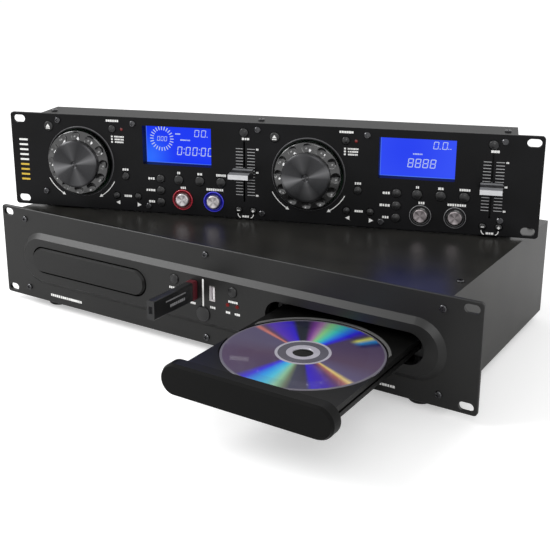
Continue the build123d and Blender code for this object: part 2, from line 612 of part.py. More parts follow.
save(usb_sockets, "usb_sockets")

with BuildPart() as player_boards:
    # The key board stands on the floor behind the middle of the panel.
    with BuildSketch(front(PLAYER, 0, KEY_BOARD_DEPTH, FLOOR_TOP)):
        Rectangle(KEY_BOARD[0], KEY_BOARD[1], align=UP)
    extrude(amount=-BOARD)
    with BuildSketch(front(PLAYER, 0, KEY_BOARD_DEPTH, 0)):
        with Locations(*mirrored([SOURCE_KEY[:2]]), POWER_BUTTON[:2]):
            Rectangle(SWITCH[0], SWITCH[0])
    extrude(amount=SWITCH[1])
    with BuildSketch(front(PLAYER, 0, KEY_BOARD_DEPTH, 0)):
        with Locations(*LAMP_SPOTS):
            Circle(LAMP_R)
    extrude(amount=KEY_BOARD_DEPTH + BOSS_PROUD + LAMP_PROUD)
    # Servo board between the loaders, and the power supply beside the mains inlet.
    for board_x, (board_width, board_length, board_depth) in ((0.0, SERVO_BOARD), (INLET_X, SUPPLY_BOARD)):
        with BuildSketch(level(PLAYER, board_x, board_depth, BOARD_Z)):
            Rectangle(board_width, board_length, align=UP)
        extrude(amount=BOARD)
        with BuildSketch(level(PLAYER, board_x, board_depth + board_length / 2, BOARD_Z)):
            with GridLocations(board_width - 2 * BOARD_POST[1], board_length - 2 * BOARD_POST[1], 2, 2):
                Circle(BOARD_POST[0])
        extrude(amount=-(BOARD_Z - FLOOR_TOP))
    for chip_x, chip_depth in CHIPS:
        with BuildSketch(level(PLAYER, chip_x, chip_depth, BOARD_Z + BOARD)):
            Rectangle(CHIP[0], CHIP[0])
        extrude(amount=CHIP[1])
    with BuildSketch(level(PLAYER, INLET_X + TRANSFORMER_SPOT[0], TRANSFORMER_SPOT[1], BOARD_Z + BOARD)):
        Rectangle(TRANSFORMER[0], TRANSFORMER[1])
    extrude(amount=TRANSFORMER[2])
save(player_boards, "player_boards")

with BuildPart() as usb_stick:
    stick_x = -PORT_X
    stick_back = -BOSS_PROUD - STICK_CLEARANCE
    # Metal plug, half filled so that it passes beside the socket's tongue.
    with BuildSketch(front(PLAYER, stick_x, stick_back, PORT_Z)):
        Rectangle(STICK_PLUG[0], STICK_PLUG[1])
        with Locations((STICK_PLUG_SLOT[2], 0)):
            Rectangle(STICK_PLUG_SLOT[0], STICK_PLUG_SLOT[1], mode=Mode.SUBTRACT)
    extrude(amount=-STICK_PLUG[2])
    # Collar, body and the lanyard notch through the body's far end.
    with BuildSketch(front(PLAYER, stick_x, stick_back, PORT_Z)):
        RectangleRounded(STICK_COLLAR[0], STICK_COLLAR[1], STICK_EDGE)
    extrude(amount=STICK_COLLAR[2])
    with BuildSketch(front(PLAYER, stick_x, stick_back, PORT_Z)):
        RectangleRounded(*STICK_BODY, STICK_EDGE)
    extrude(amount=stick_back - STICK_FACE)
    with BuildSketch(front(PLAYER, stick_x, STICK_FACE, PORT_Z)):
        Rectangle(STICK_NOTCH[0], STICK_NOTCH[1])
    extrude(amount=-STICK_NOTCH[2], mode=Mode.SUBTRACT)
save(usb_stick, "usb_stick")

def link_socket(unit, x, wall):
    """A round-pinned socket through a unit's back wall, for a lead between the units."""
    with BuildPart() as socket:
        with BuildSketch(front(unit, x, wall + LINK_REACH, LINK_Z)):
            RectangleRounded(*LINK_SHELL, LINK_CORNER)
        extrude(amount=LINK_REACH + SHEET + LINK_INSIDE)
        with BuildSketch(front(unit, x, wall, LINK_Z)):
            RectangleRounded(LINK_FLANGE[0], LINK_FLANGE[1], LINK_CORNER)
        extrude(amount=-LINK_FLANGE[2])
        with BuildSketch(front(unit, x, wall + LINK_REACH, LINK_Z)):
            with GridLocations(LINK_PIN[1], LINK_PIN[1], 5, 2):
                Circle(LINK_PIN[0])
        extrude(amount=LINK_PIN[2], mode=Mode.SUBTRACT)
    return socket


INLET_FACE = PLAYER_WALL + INLET_FLANGE[2]
with BuildPart() as rear_sockets:
    # Audio output jacks.
    for phono_x, phono_z in PHONO_SPOTS:
        with BuildSketch(front(PLAYER, phono_x, PLAYER_WALL - SHEET, phono_z)):
            Rectangle(PHONO_BLOCK[0], PHONO_BLOCK[0])
        extrude(amount=PHONO_BLOCK[1])
        with BuildSketch(front(PLAYER, phono_x, PLAYER_WALL - SHEET, phono_z)):
            Circle(PHONO_R)
        extrude(amount=-(SHEET + PHONO_REACH))
        with BuildSketch(front(PLAYER, phono_x, PLAYER_WALL, phono_z)):
            Circle(PHONO_FLANGE[0])
        extrude(amount=-PHONO_FLANGE[1])
        with BuildSketch(front(PLAYER, phono_x, PLAYER_WALL + PHONO_REACH, phono_z)):
            Circle(PHONO_BORE[0])
        extrude(amount=PHONO_BORE[1], mode=Mode.SUBTRACT)
    # Sockets for the leads to the controller.
    for link_x in LINK_X:
        add(link_socket(PLAYER, link_x, PLAYER_WALL).part)
    # Mains inlet with its three pins.
    with BuildSketch(front(PLAYER, INLET_X, PLAYER_WALL, INLET_Z)):
        Rectangle(*INLET_BODY)
    extrude(amount=INLET_DEPTH)
    with BuildSketch(front(PLAYER, INLET_X, PLAYER_WALL, INLET_Z)):
        RectangleRounded(INLET_FLANGE[0], INLET_FLANGE[1], INLET_CORNERS[0])
    extrude(amount=-INLET_FLANGE[2])
    with BuildSketch(front(PLAYER, INLET_X, INLET_FACE, INLET_Z)):
        RectangleRounded(INLET_RECESS[0], INLET_RECESS[1], INLET_CORNERS[1])
    extrude(amount=INLET_RECESS[2], mode=Mode.SUBTRACT)
    with BuildSketch(front(PLAYER, INLET_X, INLET_FACE - INLET_RECESS[2], INLET_Z)):
        with Locations(*INLET_PIN_SPOTS):
            Rectangle(INLET_PIN[0], INLET_PIN[1])
    extrude(amount=-INLET_PIN[2])
save(rear_sockets, "rear_sockets")

# ==== controller: casing ====
with BuildPart() as controller_front_panel:
    with BuildSketch(front(CONTROLLER, 0, PANEL, UNIT_HEIGHT / 2)):
        RectangleRounded(RACK_WIDTH, UNIT_HEIGHT, PANEL_CORNER)
        with GridLocations(2 * RACK_SLOT_X, 2 * RACK_SLOT_Z, 2, 2):
            SlotOverall(*RACK_SLOT, mode=Mode.SUBTRACT)
    extrude(amount=PANEL)
    panel_face = controller_front_panel.faces().sort_by(outward(CONTROLLER))[-1]
    chamfer(panel_face.outer_wire().edges(), PANEL_EDGE)
    for shift in DECK_SHIFTS:
        # Raised bezel round the jog wheel, and the deep rim behind the display's opening.
        with BuildSketch(front(CONTROLLER, JOG[0] + shift, 0, JOG[1])):
            Circle(JOG_BEZEL_R)
        extrude(amount=JOG_BEZEL_PROUD, taper=JOG_BEZEL_SLOPE)
        with BuildSketch(front(CONTROLLER, DISPLAY[0] + shift, PANEL, DISPLAY[1])):
            Rectangle(DISPLAY[2] + 2 * DISPLAY_RIM[0], DISPLAY[3] + 2 * DISPLAY_RIM[0])
        extrude(amount=-(DISPLAY_RIM[1] - PANEL))
    with BuildSketch(front(CONTROLLER, 0, DISPLAY_RIM[1], 0)):
        for shift in DECK_SHIFTS:
            with Locations((JOG[0] + shift, JOG[1])):
                Circle(JOG_HOLE_R)
            with Locations((DISPLAY[0] + shift, DISPLAY[1])):
                Rectangle(DISPLAY[2], DISPLAY[3])
            with Locations((FADER_X + shift, FADER_Z)):
                SlotOverall(FADER_SLOT[1], FADER_SLOT[0], rotation=90)
            with Locations((JOG_LAMP[0] + shift, JOG_LAMP[1])):
                Circle(LAMP_R + LAMP_GAP)
            for key_name, (key_x, key_z, key_r, key_proud) in ROUND_KEYS.items():
                hole_r = RING_R + RING_GAP if key_name in LIT_BUTTONS else key_r + KEY_GAP
                with Locations((key_x + shift, key_z)):
                    Circle(hole_r)
            for pair_x, pair_z, pair_half, cap_r in KEY_PAIRS.values():
                with Locations((pair_x + shift - pair_half, pair_z), (pair_x + shift + pair_half, pair_z)):
                    Circle(cap_r + PAIR_GAP)
        with Locations(*CONTROLLER_TOP_SCREWS, *CONTROLLER_LOW_SCREWS, *CONTROLLER_END_SCREWS):
            Circle(SCREW_SHANK[0])
    extrude(amount=DISPLAY_RIM[1] + JOG_BEZEL_PROUD, mode=Mode.SUBTRACT)
save(controller_front_panel, "controller_front_panel")

BASE_HALF = CONTROLLER_HALF - SHEET
BASE_HIGH = CONTROLLER_TOP - SHEET
BASE_FLOOR_TOP = CONTROLLER_FLOOR + SHEET
BASE_LENGTH = CONTROLLER_WALL - PANEL
BASE_FLANGE = 14.0
BASE_FLANGE_DEPTH = 12.0  # the flanges start behind the panel's screws
END_TAB = (12.0, 16.0, 9.5)  # width, height, above the floor's underside
STRAP_WIDTH = 14.0
STRAP_LENGTH = 36.0
with BuildPart() as controller_base:
    with BuildSketch(level(CONTROLLER, 0, PANEL, CONTROLLER_FLOOR)):
        Rectangle(2 * BASE_HALF, BASE_LENGTH, align=UP)
    extrude(amount=BASE_HIGH - CONTROLLER_FLOOR)
    # Folded up at the sides and the back, and open at the front and the top.
    with BuildSketch(level(CONTROLLER, 0, PANEL, BASE_FLOOR_TOP)):
        Rectangle(2 * (BASE_HALF - SHEET), BASE_LENGTH - SHEET, align=UP)
    extrude(amount=BASE_HIGH - BASE_FLOOR_TOP, mode=Mode.SUBTRACT)
    with BuildSketch(level(CONTROLLER, 0, BASE_FLANGE_DEPTH, BASE_HIGH)):
        for side in (-1, 1):
            with Locations((side * (BASE_HALF - BASE_FLANGE / 2), 0)):
                Rectangle(BASE_FLANGE, CONTROLLER_WALL - BASE_FLANGE_DEPTH, align=UP)
        with Locations((CONTROLLER_COVER_SCREWS[1][0], CONTROLLER_WALL - BASE_FLANGE_DEPTH)):
            Rectangle(STRAP_WIDTH, STRAP_LENGTH, align=DOWN)
    extrude(amount=-SHEET)
    # Tabs that the front panel is screwed to.
    with BuildSketch(front(CONTROLLER, 0, PANEL + SHEET, CONTROLLER_FLOOR)):
        with Locations(*[(x, 0) for x, z in CONTROLLER_LOW_SCREWS]):
            Rectangle(TAB_WIDTH, LOW_TAB, align=UP)
        for side in (-1, 1):
            with Locations((side * (BASE_HALF - END_TAB[0] / 2), END_TAB[2])):
                Rectangle(END_TAB[0], END_TAB[1], align=UP)
    extrude(amount=SHEET)
    with BuildSketch(front(CONTROLLER, 0, PANEL + SHEET, 0)):
        with Locations(*CONTROLLER_LOW_SCREWS, *CONTROLLER_END_SCREWS):
            Circle(SCREW_SHANK[0])
    extrude(amount=SHEET, mode=Mode.SUBTRACT)
    # Pressed feet that stand on the player.
    with BuildSketch(level(CONTROLLER, 0, sum(PAD_DEPTHS) / 2, CONTROLLER_FLOOR)):
        with GridLocations(2 * PAD_X, PAD_DEPTHS[1] - PAD_DEPTHS[0], 2, 2):
            Circle(PAD_R)
    extrude(amount=-(CONTROLLER_FLOOR + PAD_REACH))
    with BuildSketch(front(CONTROLLER, 0, CONTROLLER_WALL, 0)):
        with Locations(*[(x, LINK_Z) for x in LINK_X]):
            RectangleRounded(*LINK_SHELL, LINK_CORNER)
    extrude(amount=SHEET, mode=Mode.SUBTRACT)
    with BuildSketch(level(CONTROLLER, 0, 0, BASE_HIGH)):
        with Locations(*CONTROLLER_COVER_SCREWS):
            Circle(SCREW_SHANK[0])
    extrude(amount=-SHEET, mode=Mode.SUBTRACT)
save(controller_base, "controller_base")

with BuildPart() as controller_cover:
    with BuildSketch(level(CONTROLLER, 0, PANEL, CONTROLLER_FLOOR)):
        Rectangle(2 * CONTROLLER_HALF, CONTROLLER_DEPTH - PANEL, align=UP)
    extrude(amount=CONTROLLER_TOP - CONTROLLER_FLOOR)
    with BuildSketch(level(CONTROLLER, 0, PANEL, CONTROLLER_FLOOR)):
        Rectangle(2 * BASE_HALF, CONTROLLER_DEPTH - PANEL, align=UP)
    extrude(amount=BASE_HIGH - CONTROLLER_FLOOR, mode=Mode.SUBTRACT)
    with BuildSketch(front(CONTROLLER, 0, PANEL + SHEET, BASE_HIGH)):
        with Locations(*[(x, 0) for x, z in CONTROLLER_TOP_SCREWS]):
            Rectangle(TAB_WIDTH, TOP_TAB, align=DOWN)
    extrude(amount=SHEET)
    with BuildSketch(front(CONTROLLER, 0, PANEL + SHEET, 0)):
        with Locations(*CONTROLLER_TOP_SCREWS):
            Circle(SCREW_SHANK[0])
    extrude(amount=SHEET, mode=Mode.SUBTRACT)
    with BuildSketch(level(CONTROLLER, 0, 0, CONTROLLER_TOP)):
        with Locations(*CONTROLLER_COVER_SCREWS):
            Circle(SCREW_SHANK[0])
    extrude(amount=-SHEET, mode=Mode.SUBTRACT)
save(controller_cover, "controller_cover")

PANEL_SCREWS = (*CONTROLLER_TOP_SCREWS, *CONTROLLER_LOW_SCREWS, *CONTROLLER_END_SCREWS)
with BuildPart() as controller_screws:
    with Locations(*[front(CONTROLLER, x, 0, z) for x, z in PANEL_SCREWS]):
        add(pan_screw.part)
    with Locations(*[level(CONTROLLER, x, depth, CONTROLLER_TOP) for x, depth in CONTROLLER_COVER_SCREWS]):
        add(pan_screw.part)
save(controller_screws, "controller_screws")

# ==== controller: lenses and board ====
with BuildPart() as controller_lenses:
    for shift in DECK_SHIFTS:
        # Display pane behind the rim.
        with BuildSketch(front(CONTROLLER, DISPLAY[0] + shift, DISPLAY_RIM[1], DISPLAY[1])):
            Rectangle(DISPLAY[2] + 2 * DISPLAY_RIM[0], DISPLAY[3] + 2 * DISPLAY_RIM[0])
        extrude(amount=-(BOARD_DEPTH - DISPLAY_RIM[1]))
        # Clear rings round the two large buttons.
        for key_name in LIT_BUTTONS:
            ring_x, ring_z, button_r, button_proud = ROUND_KEYS[key_name]
            with BuildSketch(front(CONTROLLER, ring_x + shift, -RING_PROUD, ring_z)):
                Circle(RING_R)
            extrude(amount=-(RING_PROUD + PANEL))
            with BuildSketch(front(CONTROLLER, ring_x + shift, PANEL, ring_z)):
                Circle(RING_FLANGE[0])
            extrude(amount=-RING_FLANGE[1])
            with BuildSketch(front(CONTROLLER, ring_x + shift, -RING_PROUD, ring_z)):
                Circle(button_r + KEY_GAP)
            extrude(amount=-(RING_PROUD + PANEL + RING_FLANGE[1]), mode=Mode.SUBTRACT)
        with BuildSketch(front(CONTROLLER, JOG_LAMP[0] + shift, PANEL, JOG_LAMP[1])):
            Circle(LAMP_R)
        extrude(amount=PANEL + LAMP_PROUD)
        with BuildSketch(front(CONTROLLER, JOG_LAMP[0] + shift, PANEL, JOG_LAMP[1])):
            Circle(JOG_LAMP_FLANGE[0])
        extrude(amount=-JOG_LAMP_FLANGE[1])
save(controller_lenses, "controller_lenses")

with BuildPart() as controller_board:
    with BuildSketch(front(CONTROLLER, 0, BOARD_DEPTH, BASE_FLOOR_TOP)):
        Rectangle(2 * BOARD_HALF, BOARD_TOP - BASE_FLOOR_TOP, align=UP)
    extrude(amount=-BOARD)
    for shift in DECK_SHIFTS:
        # Switches behind the keys, and the ridges that the key pairs rock on.
        with BuildSketch(front(CONTROLLER, shift, BOARD_DEPTH, 0)):
            with Locations(*[(x, min(z, BOARD_TOP - SWITCH[0] / 2)) for x, z, r, p in ROUND_KEYS.values()]):
                Rectangle(SWITCH[0], SWITCH[0])
        extrude(amount=SWITCH[1])
        with BuildSketch(front(CONTROLLER, shift, BOARD_DEPTH, 0)):
            with Locations(*[(x, z) for x, z, half, r in KEY_PAIRS.values()]):
                Rectangle(PAIR_PIVOT[0], PAIR_BAR[2])
        extrude(amount=BOARD_DEPTH - PAIR_BAR[0] - PAIR_BAR[1] - PAIR_PIVOT[1])
        # Bush of the jog wheel's shaft.
        with BuildSketch(front(CONTROLLER, JOG[0] + shift, BOARD_DEPTH, JOG[1])):
            Circle(JOG_BUSH[0])
            Circle(JOG_SHAFT_R + JOG_SHAFT_FIT, mode=Mode.SUBTRACT)
        extrude(amount=JOG_BUSH[1])
        # Body of the pitch fader, with a channel for its stem.
        with BuildSketch(front(CONTROLLER, FADER_X + shift, BOARD_DEPTH, FADER_Z)):
            Rectangle(*FADER_BODY)
        extrude(amount=BOARD_DEPTH - PANEL)
        with BuildSketch(front(CONTROLLER, FADER_X + shift, PANEL, FADER_Z)):
            SlotOverall(FADER_SLOT[1] + FADER_CHANNEL[0], FADER_SLOT[0] + FADER_CHANNEL[0], rotation=90)
        extrude(amount=-FADER_CHANNEL[1], mode=Mode.SUBTRACT)
    # Sockets for the leads to the player.
    for link_x in LINK_X:
        add(link_socket(CONTROLLER, link_x, CONTROLLER_WALL).part)
save(controller_board, "controller_board")

# ==== controller: keys, jog wheels and faders of both decks ====
STEM_END = BOARD_DEPTH - SWITCH[1] - KEY_TRAVEL - SWITCH_GAP
for deck, shift in enumerate(DECK_SHIFTS, start=1):
    for key_name, (key_x, key_z, key_r, key_proud) in ROUND_KEYS.items():
        lit = key_name in LIT_BUTTONS
        flange_depth = KEY_CAP_BACK + 1.0 if lit else KEY_CAP_BACK
        rounding = BUTTON_ROUNDING if lit else KEY_ROUNDING
        key = push_key(
            CONTROLLER, key_x + shift, key_z, key_r, key_proud, flange_depth, STEM_END, rounding
        )
        save(key, f"{key_name}_{deck}")

    for pair_name, (pair_x, pair_z, pair_half, cap_r) in KEY_PAIRS.items():
        with BuildPart() as key_pair:
            with BuildSketch(front(CONTROLLER, pair_x + shift, -PAIR_PROUD, pair_z)):
                with Locations((-pair_half, 0), (pair_half, 0)):
                    Circle(cap_r)
            extrude(amount=-(PAIR_PROUD + PAIR_BAR[0]))
            cap_edges = key_pair.edges().filter_by(GeomType.CIRCLE).group_by(outward(CONTROLLER))[-1]
            fillet(cap_edges, KEY_ROUNDING)
            with BuildSketch(front(CONTROLLER, pair_x + shift, PAIR_BAR[0], pair_z)):
                Rectangle(2 * (pair_half + PAIR_BAR_END), PAIR_BAR[2])
            extrude(amount=-PAIR_BAR[1])
        save(key_pair, f"{pair_name}_{deck}")

    jog_x = JOG[0] + shift
    with BuildPart() as jog_wheel:
        # Half section, with x as radius and y as depth, turned about the wheel's axis.
        with BuildSketch(level(CONTROLLER, jog_x, 0, JOG[1])):
            with BuildLine():
                Polyline(
                    (0, JOG_CAP_FACE),
                    (JOG_CAP_R - JOG_CAP_BEVEL, JOG_CAP_FACE + JOG_CAP_CROWN),
                    (JOG_CAP_R, JOG_CAP_EDGE),
                    (JOG_CAP_R, JOG_CAP_FOOT),
                    JOG_FACE,
                    (JOG_WHEEL_R, JOG_RIM),
                    (JOG_WHEEL_R, JOG_BACK),
                    (JOG_SHAFT_R, JOG_BACK),
                    (JOG_SHAFT_R, JOG_SHAFT_END),
                    (0, JOG_SHAFT_END),
                    close=True,
                )
            make_face()
        revolve(axis=Axis(CONTROLLER.from_local_coords((jog_x, 0, JOG[1])), CONTROLLER.y_dir))
        # Finger dimples, as caps of spheres.
        dimple_r, dimple_depth = JOG_DIMPLE
        sphere_r = (dimple_r**2 + dimple_depth**2) / (2 * dimple_depth)
        with Locations(front(CONTROLLER, jog_x, (JOG_FACE[1] + JOG_CAP_FOOT) / 2, JOG[1])):
            with PolarLocations(JOG_DIMPLE_CIRCLE, JOG_DIMPLES):
                with Locations((0, 0, sphere_r - dimple_depth)):
                    Sphere(sphere_r, mode=Mode.SUBTRACT)
    save(jog_wheel, f"jog_wheel_{deck}")

    with BuildPart() as pitch_fader:
        with BuildSketch(front(CONTROLLER, FADER_X + shift, -FADER_KNOB[0], FADER_Z)):
            Rectangle(*FADER_KNOB_BASE)
        with BuildSketch(front(CONTROLLER, FADER_X + shift, -FADER_KNOB[1], FADER_Z)):
            Rectangle(*FADER_KNOB_FACE)
        loft()
        with BuildSketch(front(CONTROLLER, FADER_X + shift, -FADER_KNOB[0], FADER_Z)):
            Rectangle(FADER_STEM[0], FADER_STEM[1])
        extrude(amount=-(FADER_KNOB[0] + FADER_STEM[2]))
    save(pitch_fader, f"pitch_fader_{deck}")
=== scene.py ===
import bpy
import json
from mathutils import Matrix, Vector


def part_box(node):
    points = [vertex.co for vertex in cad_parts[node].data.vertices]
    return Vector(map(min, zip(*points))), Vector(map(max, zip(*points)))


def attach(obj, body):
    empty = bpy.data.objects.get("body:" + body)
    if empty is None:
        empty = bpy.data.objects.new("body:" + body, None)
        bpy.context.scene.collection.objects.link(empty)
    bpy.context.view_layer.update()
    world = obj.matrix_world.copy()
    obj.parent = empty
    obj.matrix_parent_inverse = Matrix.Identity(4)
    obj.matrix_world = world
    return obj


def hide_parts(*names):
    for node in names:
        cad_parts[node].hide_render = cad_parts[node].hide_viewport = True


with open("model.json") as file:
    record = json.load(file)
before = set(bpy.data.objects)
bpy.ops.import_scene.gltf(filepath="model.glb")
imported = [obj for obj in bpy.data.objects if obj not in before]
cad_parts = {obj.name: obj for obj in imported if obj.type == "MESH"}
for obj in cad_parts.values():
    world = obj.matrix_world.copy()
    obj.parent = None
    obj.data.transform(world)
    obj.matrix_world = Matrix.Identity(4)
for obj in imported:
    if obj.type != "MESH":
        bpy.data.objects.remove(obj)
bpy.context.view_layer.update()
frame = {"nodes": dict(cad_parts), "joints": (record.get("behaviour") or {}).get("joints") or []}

import json
import math

import bmesh
import bpy
from bpy.props import FloatProperty, FloatVectorProperty, IntProperty, PointerProperty
from mathutils import Matrix, Vector

bl_info = {
    "name": "Dual disc player",
    "version": (1, 0, 0),
    "blender": (4, 5, 0),
    "location": "3D View > Sidebar > Player",
    "description": "Finishes, printed marks, displays and disc of a two-unit disc player",
    "category": "Add Mesh",
}

# Every size below is in millimetres, and MM turns it to metres.
MM = 0.001
UP = Vector((0, 0, 1))
JOINTS = {joint["name"]: joint for joint in frame["joints"]}

# ---- places on the two units ----
BOSS_PROUD = 4.0  # the player's raised field, in front of its panel
JOG_SPOT = (-172.5, 44.5)  # middle of the first jog wheel, on the controller's panel
PRINT = 0.04  # thickness of a layer of printing ink
BLOCK_PITCH = 0.95  # of the blocks in small print, as a share of their height
POLAR_UNIT = 100  # millimetres in one unit of the polar map's v
SHARP = 35.0  # degrees, above which an edge of most pieces stays sharp
SLACK = 0.1  # in the place of a face, where its finish is chosen by that


class Unit:
    """A rack unit: x right of its panel's middle, z above the panel's lower edge, out towards the eye."""

    def __init__(self, origin, outward, body):
        self.origin = Vector(origin)
        self.outward = Vector(outward).normalized()
        self.right = Vector((-self.outward.y, self.outward.x, 0))
        self.body = body

    def place(self, x, z, out=0.0):
        return self.origin + (self.right * x + UP * z + self.outward * out) * MM

    def grid(self, x=0.0, z=0.0):
        """Matrix from millimetres on the panel (x, z, out) to metres in the frame."""
        matrix = Matrix.Identity(4)
        for column, axis in enumerate((self.right, UP, self.outward)):
            matrix.col[column] = (*(axis * MM), 0)
        matrix.col[3] = (*self.place(x, z), 1)
        return matrix


panel_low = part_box("player_front_panel")[0]
PLAYER = Unit((0, panel_low.y + BOSS_PROUD * MM, panel_low.z), (0, -1, 0), "player")
jog = JOINTS["jog_wheel_1_spin"]
CONTROLLER = Unit((0, 0, 0), jog["axis"], "controller")
CONTROLLER.origin = Vector(jog["pos_m"]) - CONTROLLER.place(*JOG_SPOT)
DECK_PITCH = (Vector(JOINTS["jog_wheel_2_spin"]["pos_m"]) - Vector(jog["pos_m"])).length / MM


# ==== helpers for meshes ====
class Drawing:
    """Closed solids in millimetres, gathered into one mesh that a matrix then puts in place."""

    def __init__(self, matrix):
        self.matrix = matrix
        self.mesh = bmesh.new()
        self.mesh.loops.layers.uv.new("polar")

    def take(self, mesh, x, z, out, finish=0):
        """Adds a mesh grown in millimetres, moved to its place."""
        mesh.transform(Matrix.Translation((x, z, out)))
        before = len(self.mesh.faces)
        self.mesh.from_mesh(mesh)
        self.mesh.faces.ensure_lookup_table()
        for face in self.mesh.faces[before:]:
            face.material_index = finish
        bpy.data.meshes.remove(mesh)

    def slab(self, outline, low, high, finish=0):
        """A flat solid with that outline, between two distances from the panel."""
        layers = [[self.mesh.verts.new((x, z, out)) for x, z in outline] for out in (low, high)]
        faces = [self.mesh.faces.new(layers[1]), self.mesh.faces.new(layers[0][::-1])]
        count = len(outline)
        for i in range(count):
            j = (i + 1) % count
            faces.append(self.mesh.faces.new((layers[0][i], layers[0][j], layers[1][j], layers[1][i])))
        for face in faces:
            face.material_index = finish

    def bar(self, x, z, width, height, low, high, finish=0, slant=0.0):
        """An upright bar, or one that leans right by slant at its top."""
        half_w, half_h = width / 2, height / 2
        outline = [
            (x - half_w - slant / 2, z - half_h),
            (x + half_w - slant / 2, z - half_h),
            (x + half_w + slant / 2, z + half_h),
            (x - half_w + slant / 2, z + half_h),
        ]
        self.slab(outline, low, high, finish)

    def lathe(self, x, z, profile, finish=0, steps=96, smooth=True, shape=None):
        """A solid turned about an axis out of the panel, from (radius, out) points.

        finish may be a function of a face's radius and distance out, and shape may return a
        further distance out for a radius and an angle."""
        polar = self.mesh.loops.layers.uv["polar"]
        rings = []
        for radius, out in profile:
            if radius == 0:
                rings.append([self.mesh.verts.new((x, z, out))] * steps)
                continue
            ring = []
            for step in range(steps):
                angle = math.tau * step / steps
                extra = shape(radius, angle) if shape else 0
                spot = (x + radius * math.cos(angle), z + radius * math.sin(angle), out + extra)
                ring.append(self.mesh.verts.new(spot))
            rings.append(ring)
        closed = list(zip(rings, rings[1:], profile, profile[1:]))
        if profile[0][0] and profile[-1][0]:
            closed.append((rings[-1], rings[0], profile[-1], profile[0]))
        for inner, outer, (r0, out0), (r1, out1) in closed:
            number = finish((r0 + r1) / 2, (out0 + out1) / 2) if callable(finish) else finish
            for step in range(steps):
                after = (step + 1) % steps
                corners = []
                for vert, u, v in (
                    (inner[step], step, r0),
                    (outer[step], step, r1),
                    (outer[after], step + 1, r1),
                    (inner[after], step + 1, r0),
                ):
                    if all(vert is not seen for seen, _, _ in corners):
                        corners.append((vert, u / steps, v))
                if len(corners) < 3:
                    continue
                face = self.mesh.faces.new([corner[0] for corner in corners])
                face.smooth = smooth
                face.material_index = number
                for loop, (_, u, v) in zip(face.loops, corners):
                    loop[polar].uv = (u, v / POLAR_UNIT)

    def piece(self, name, body, finishes, slot, replaces=(), sharp=0.0):
        """Places the solids, turns their faces outwards and makes the piece that rides on its body."""
        bmesh.ops.remove_doubles(self.mesh, verts=self.mesh.verts, dist=1e-4)
        bmesh.ops.recalc_face_normals(self.mesh, faces=self.mesh.faces)
        self.mesh.transform(self.matrix)
        mount(self.mesh, name, body, finishes, replaces, sharp)


def added(name, data):
    """A new object of the scene, with its data."""
    made = bpy.data.objects.new(name, data)
    bpy.context.scene.collection.objects.link(made)
    return made


def mesh_of(made, name):
    """A mesh with the faces of a bmesh, which is then freed."""
    mesh = bpy.data.meshes.new(name)
    made.to_mesh(mesh)
    made.free()
    return mesh


def mount(made, name, body, finishes, replaces=(), sharp=0.0):
    """An object at the origin from a placed bmesh, with its finishes and body.

    Faces become smooth, and edges over sharp degrees stay sharp; at 0 the mesh stays as it is."""
    mesh = mesh_of(made, name)
    piece = added(name, mesh)
    for finish in finishes:
        mesh.materials.append(finish)
    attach(piece, body)
    if replaces:
        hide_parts(*replaces)
    if sharp:
        smooth_by_angle(mesh, sharp)


def arc(x, z, radius, start, end, steps=24):
    """Points along an arc, with its angles in degrees."""
    angles = [math.radians(start + (end - start) * step / steps) for step in range(steps + 1)]
    return [(x + radius * math.cos(angle), z + radius * math.sin(angle)) for angle in angles]


def band(x, z, inner, outer, start, end, steps=24):
    """Outline of a curved band between two radii."""
    return arc(x, z, outer, start, end, steps) + arc(x, z, inner, end, start, steps)


def merged(name):
    """A bmesh of a CAD node, with its doubled points joined."""
    made = bmesh.new()
    made.from_mesh(frame["nodes"][name].data)
    bmesh.ops.remove_doubles(made, verts=made.verts, dist=1e-6)
    return made


def copy_of(name, body, finishes, choose, cuts=()):
    """A merged copy of a CAD node, whose faces take the finish that choose names by number.

    choose gets a face's middle and normal, and cuts are planes, as a point and a normal, that part
    its faces first."""
    made = merged(name)
    for point, normal in cuts:
        whole = [*made.verts, *made.edges, *made.faces]
        bmesh.ops.bisect_plane(made, geom=whole, plane_co=point, plane_no=normal)
    for face in made.faces:
        face.material_index = choose(face.calc_center_median(), face.normal)
    mount(made, f"{name}_dressed", body, finishes, (name,), SHARP)


def smooth_by_angle(mesh, angle):
    """Marks faces smooth and edges sharper than the angle sharp."""
    made = bmesh.new()
    made.from_mesh(mesh)
    for face in made.faces:
        face.smooth = True
    for line in made.edges:
        if len(line.link_faces) != 2 or line.calc_face_angle(0) > math.radians(angle):
            line.smooth = False
    made.to_mesh(mesh)
    made.free()


# ==== helpers for finishes ====
def hex_colour(value):
    """Linear colour, with alpha, of an sRGB hex value such as "1b1b1d"; a linear colour stays as it is."""
    if not isinstance(value, str):
        return list(value)
    channels = [int(value[i:i + 2], 16) / 255 for i in (0, 2, 4)]
    return [*(c / 12.92 if c <= 0.04045 else ((c + 0.055) / 1.055) ** 2.4 for c in channels), 1.0]


def node(tree, kind, links=(), stops=(), **settings):
    """Adds a node with its settings; links pairs the name of an input with a socket or a value.

    stops are a colour ramp's pairs of a position and a colour, in order."""
    made = tree.nodes.new(kind)
    for name, value in settings.items():
        setattr(made, name, value)
    for name, value in links:
        if isinstance(value, bpy.types.NodeSocket):
            tree.links.new(value, made.inputs[name])
        else:
            made.inputs[name].default_value = value
    if stops:
        elements = made.color_ramp.elements
        elements[0].position, elements[0].color = stops[0]
        elements[1].position, elements[1].color = stops[-1]
        for position, value in stops[1:-1]:
            elements.new(position).color = value
    return made


def new_finish(name, **sockets):
    """A material with its shader's sockets set, its tree and its shader."""
    material = bpy.data.materials.new(name)
    material.use_nodes = True
    tree = material.node_tree
    shader = tree.nodes["Principled BSDF"]
    for socket, value in sockets.items():
        shader.inputs[socket.replace("_", " ")].default_value = value
    return material, tree, shader


